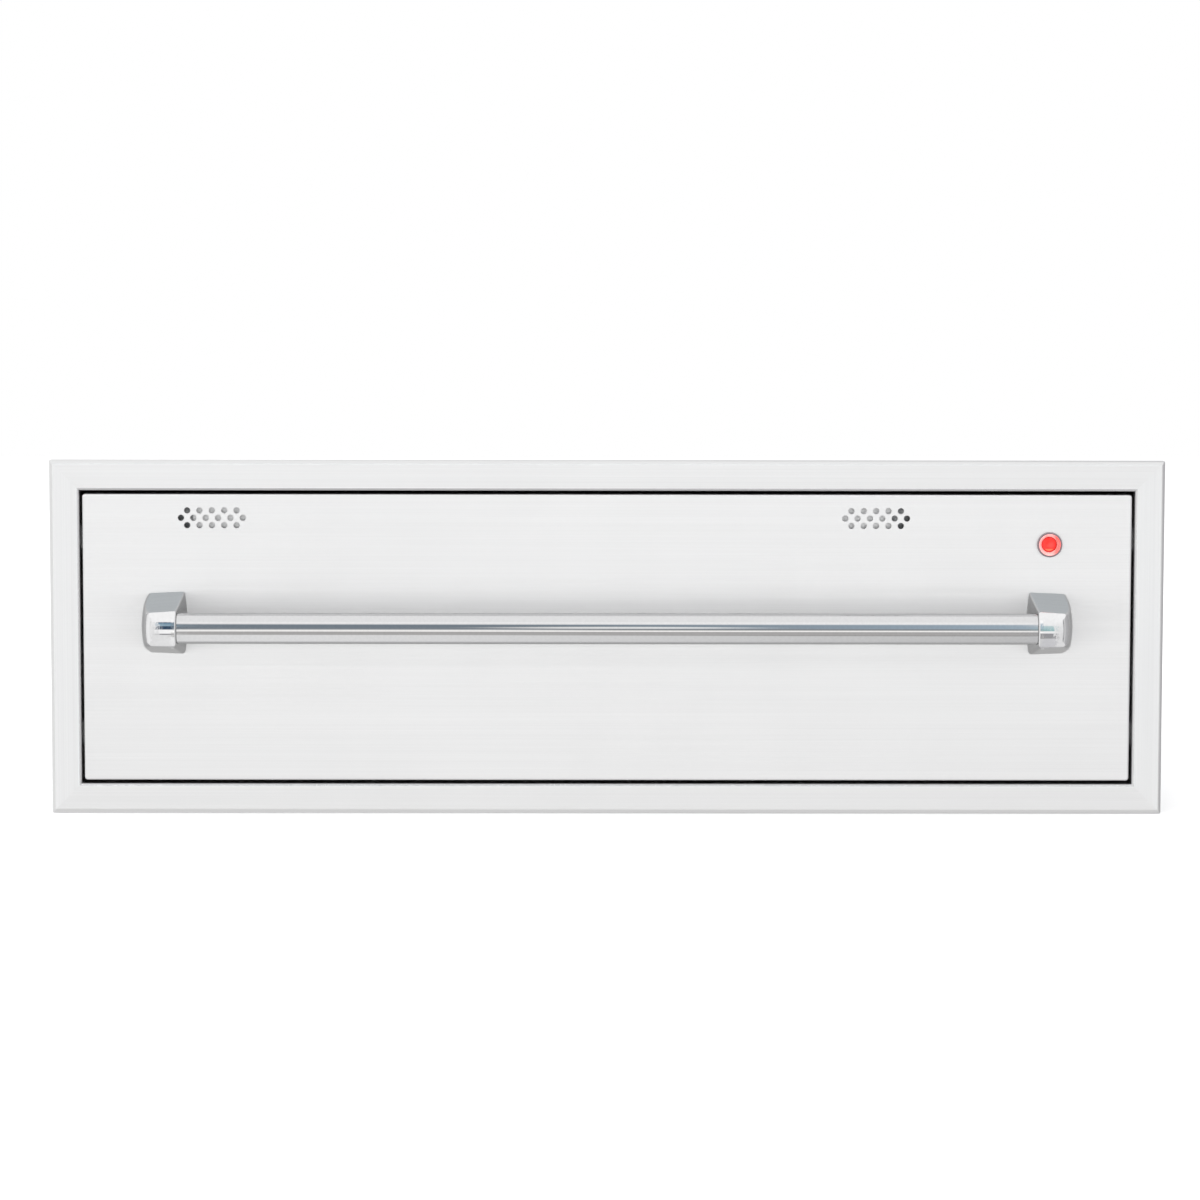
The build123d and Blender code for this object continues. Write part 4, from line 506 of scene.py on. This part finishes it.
def make_world():
    """What the gloss sees: a white tent with a dim opening straight ahead, where the camera looks in."""
    world = bpy.data.worlds.new("studio")
    scene.world = world
    world.use_nodes = True
    g = Graph(world.node_tree)
    out = next(n for n in g.nodes if n.type == "OUTPUT_WORLD")
    back = next(n for n in g.nodes if n.type == "BACKGROUND")
    co = g.add("ShaderNodeTexCoord").outputs["Generated"]
    sep = g.add("ShaderNodeSeparateXYZ")
    g.links.new(co, sep.inputs[0])
    elev = g.math("MULTIPLY", g.math("ARCSINE", sep.outputs[2]), 180.0 / math.pi)
    azim = g.math("MULTIPLY", g.math("ARCTAN2", sep.outputs[0], g.math("MULTIPLY", sep.outputs[1], -1.0)), 180.0 / math.pi)
    aside = g.math("ABSOLUTE", azim)
    across = g.math("MULTIPLY", g.math("ARCSINE", sep.outputs[0]), 180.0 / math.pi)
    # through the opening, by elevation
    ahead = ramp_of(g, elev, [
        (-90, (1.10, 1.10, 1.10)),
        (-46, (1.10, 1.10, 1.10)),
        (-42, (0.60, 0.59, 0.58)),
        (-24, (0.60, 0.59, 0.58)),
        (-19, (0.62, 0.61, 0.60)),
        (-16, (1.42, 1.40, 1.37)),
        (-9, (1.42, 1.40, 1.37)),
        (-3, (0.72, 0.73, 0.74)),
        (3, (0.30, 0.34, 0.38)),
        (18, (0.265, 0.315, 0.365)),
        (32, (0.28, 0.33, 0.38)),
        (40, (1.20, 1.20, 1.20)),
        (50, (1.32, 1.32, 1.32)),
        (58, (1.17, 1.17, 1.17)),
        (90, (1.17, 1.17, 1.17)),
    ])
    # a pale reflector in the opening, which shows as a lens-shaped patch in the middle of the bar
    da = g.math("DIVIDE", g.math("SUBTRACT", across, 0.5), 2.7)
    de = g.math("DIVIDE", g.math("SUBTRACT", elev, 12.0), 11.0)
    lens_r = g.math("SQRT", g.math("ADD", g.math("MULTIPLY", da, da), g.math("MULTIPLY", de, de)))
    patch = g.range(lens_r, 0.35, 1.0, 1.0, 0.0, smooth=True)
    ahead = g.mix(patch, ahead, rgb(1.15, 1.14, 1.12))
    # the dim stretch is paler and bluer towards the right
    right = g.math("MULTIPLY", g.range(across, -1.0, 6.5, 0.0, 0.18), g.math("MULTIPLY", g.range(elev, -4.0, 2.0, 0.0, 1.0), g.range(elev, 30.0, 45.0, 1.0, 0.0)))
    ahead = g.mix(right, ahead, rgb(1.45, 1.90, 2.27))
    # from the middle to the right its lower edge is dim as well
    edge = g.math("MULTIPLY", g.range(across, -1.5, 0.5, 0.0, 0.5), g.math("MULTIPLY", g.range(elev, -10.0, -7.0, 0.0, 1.0), g.range(elev, 4.0, 7.0, 1.0, 0.0)))
    ahead = g.mix(edge, ahead, rgb(0.18, 0.19, 0.20))
    # towards the right the table below is dimmer, and the dim stretch over it reaches a little lower
    lower = g.math("MULTIPLY", g.range(across, -2.0, 3.0, 0.0, 1.0), g.math("MULTIPLY", g.range(elev, -51.0, -48.0, 0.0, 1.0), g.range(elev, -30.0, -28.0, 1.0, 0.0)))
    ahead = g.mix(lower, ahead, rgb(0.60, 0.59, 0.58))
    table = g.math("MULTIPLY", g.range(across, -4.3, 6.6, 0.0, 0.29), g.range(elev, -46.0, -43.0, 1.0, 0.0))
    ahead = g.mix(table, ahead, rgb(0.0, 0.0, 0.0))
    # the frame of the opening: bluer and darker at its left edge, paler at its right one
    jamb = ramp_of(g, elev, [
        (-90, (0.98, 0.98, 0.98)), (-32, (0.95, 0.95, 0.95)), (-30.5, (0.30, 0.30, 0.32)), (-26, (0.30, 0.30, 0.32)), (-23.5, (1.2, 1.2, 1.2)), (-3, (1.2, 1.2, 1.2)),
        (-1, (0.05, 0.09, 0.15)), (15, (0.04, 0.08, 0.14)), (19, (0.36, 0.52, 0.64)), (33, (0.20, 0.33, 0.44)), (37, (0.05, 0.10, 0.17)), (41, (1.15, 1.15, 1.15)), (90, (1.17, 1.17, 1.17)),
    ])
    ahead = g.mix(g.range(across, -6.08, -6.13, 0.0, 1.0), ahead, jamb)
    jamb_r = ramp_of(g, elev, [
        (-90, (0.74, 0.74, 0.76)), (-50, (0.74, 0.74, 0.76)), (-46, (0.40, 0.40, 0.41)), (-20, (0.38, 0.38, 0.40)), (-17, (1.1, 1.1, 1.1)), (-7, (1.1, 1.1, 1.1)),
        (-5, (0.38, 0.60, 0.60)), (8, (0.50, 0.70, 0.72)), (20, (0.62, 0.78, 0.80)), (26, (1.1, 1.1, 1.1)), (90, (1.17, 1.17, 1.17)),
    ])
    ahead = g.mix(g.range(across, 6.57, 6.62, 0.0, 1.0), ahead, jamb_r)
    # the tent round it
    tent = ramp_of(g, elev, [
        (-90, (0.95, 0.95, 0.95)),
        (-40, (0.92, 0.92, 0.92)),
        (-12, (0.95, 0.95, 0.95)),
        (20, (1.02, 1.02, 1.02)),
        (50, (1.17, 1.17, 1.17)),
        (90, (1.17, 1.17, 1.17)),
    ])
    level = g.range(g.math("ABSOLUTE", elev), 40.0, 75.0, 1.0, 0.0)
    shade = g.math("MULTIPLY", g.range(aside, 25.0, 85.0, 0.0, 1.0, smooth=True), level)
    tent = g.mix(shade, tent, g.mix(g.range(azim, -20.0, 20.0, 0.0, 1.0), rgb(1.10, 1.10, 1.10), rgb(0.55, 0.55, 0.56)))
    opening = g.range(g.math("ABSOLUTE", g.math("SUBTRACT", across, 0.233)), 6.570, 6.615, 1.0, 0.0)
    opening = g.math("MULTIPLY", opening, g.range(sep.outputs[1], 0.75, 0.85, 1.0, 0.0))
    sky = g.mix(opening, tent, ahead)
    g.links.new(sky, back.inputs["Color"])
    back.inputs["Strength"].default_value = 1.0
    seen = g.add("ShaderNodeBackground")
    seen.inputs["Color"].default_value = (1, 1, 1, 1)
    seen.inputs["Strength"].default_value = 1.0
    path = g.add("ShaderNodeLightPath")
    mix = g.add("ShaderNodeMixShader")
    g.links.new(path.outputs["Is Camera Ray"], mix.inputs[0])
    g.links.new(back.outputs[0], mix.inputs[1])
    g.links.new(seen.outputs[0], mix.inputs[2])
    g.links.new(mix.outputs[0], out.inputs[0])


make_world()


def make_floor():
    me = bpy.data.meshes.new("floor")
    bm = bmesh.new()
    z = CAD_BOUNDS[0][2] - 0.0003
    bmesh.ops.create_grid(bm, x_segments=8, y_segments=8, size=6.0)
    for v in bm.verts:
        v.co.z = z
    bm.to_mesh(me)
    bm.free()
    floor = bpy.data.objects.new("floor", me)
    scene.collection.objects.link(floor)
    mat, g, bsdf, co = new_material("floor_white")
    g.put(g.mix(g.range(g.noise(co, 2.0, 3.0, 0.5), 0.3, 0.7, 0.0, 1.0), rgb(0.90, 0.90, 0.90), rgb(0.93, 0.93, 0.93)), bsdf.inputs["Base Color"])
    bsdf.inputs["Roughness"].default_value = 0.9
    bsdf.inputs["Specular IOR Level"].default_value = 0.1
    bsdf.inputs["Emission Color"].default_value = rgb(1.0, 1.0, 1.0)
    bsdf.inputs["Emission Strength"].default_value = 0.15
    dress(floor, mat)
    floor.visible_glossy = False
    return floor


make_floor()


def area_light(name, at, to, size, power, glossy, only=()):
    """A soft rectangular light; with names given, it lights only those pieces."""
    data = bpy.data.lights.new(name, "AREA")
    data.shape = "RECTANGLE"
    data.size, data.size_y = size
    data.energy = power
    lamp = bpy.data.objects.new(name, data)
    scene.collection.objects.link(lamp)
    lamp.location = at
    lamp.rotation_euler = (Vector(to) - Vector(at)).to_track_quat("-Z", "Y").to_euler()
    lamp.visible_camera = False
    lamp.visible_glossy = glossy
    data.cycles.use_multiple_importance_sampling = not only
    if only:
        group = bpy.data.collections.new(name + "_receivers")
        for node in only:
            group.objects.link(NODES[node])
        lamp.light_linking.receiver_collection = group
        lamp.light_linking.blocker_collection = group
    return lamp


# an overhead bank for the table and the dull surfaces, and a broad front bank for the brushed sheets
area_light("overhead", (0.0, -0.5, 3.2), (0.0, -0.5, 0.0), (5.0, 5.0), 84.0, False)
area_light("front_bank", (-0.3, -4.0, 1.2), (0.0, 0.0, 0.0), (6.0, 4.2), 28.0, True, only=("front_skin", "trim_frame", "front_shield"))
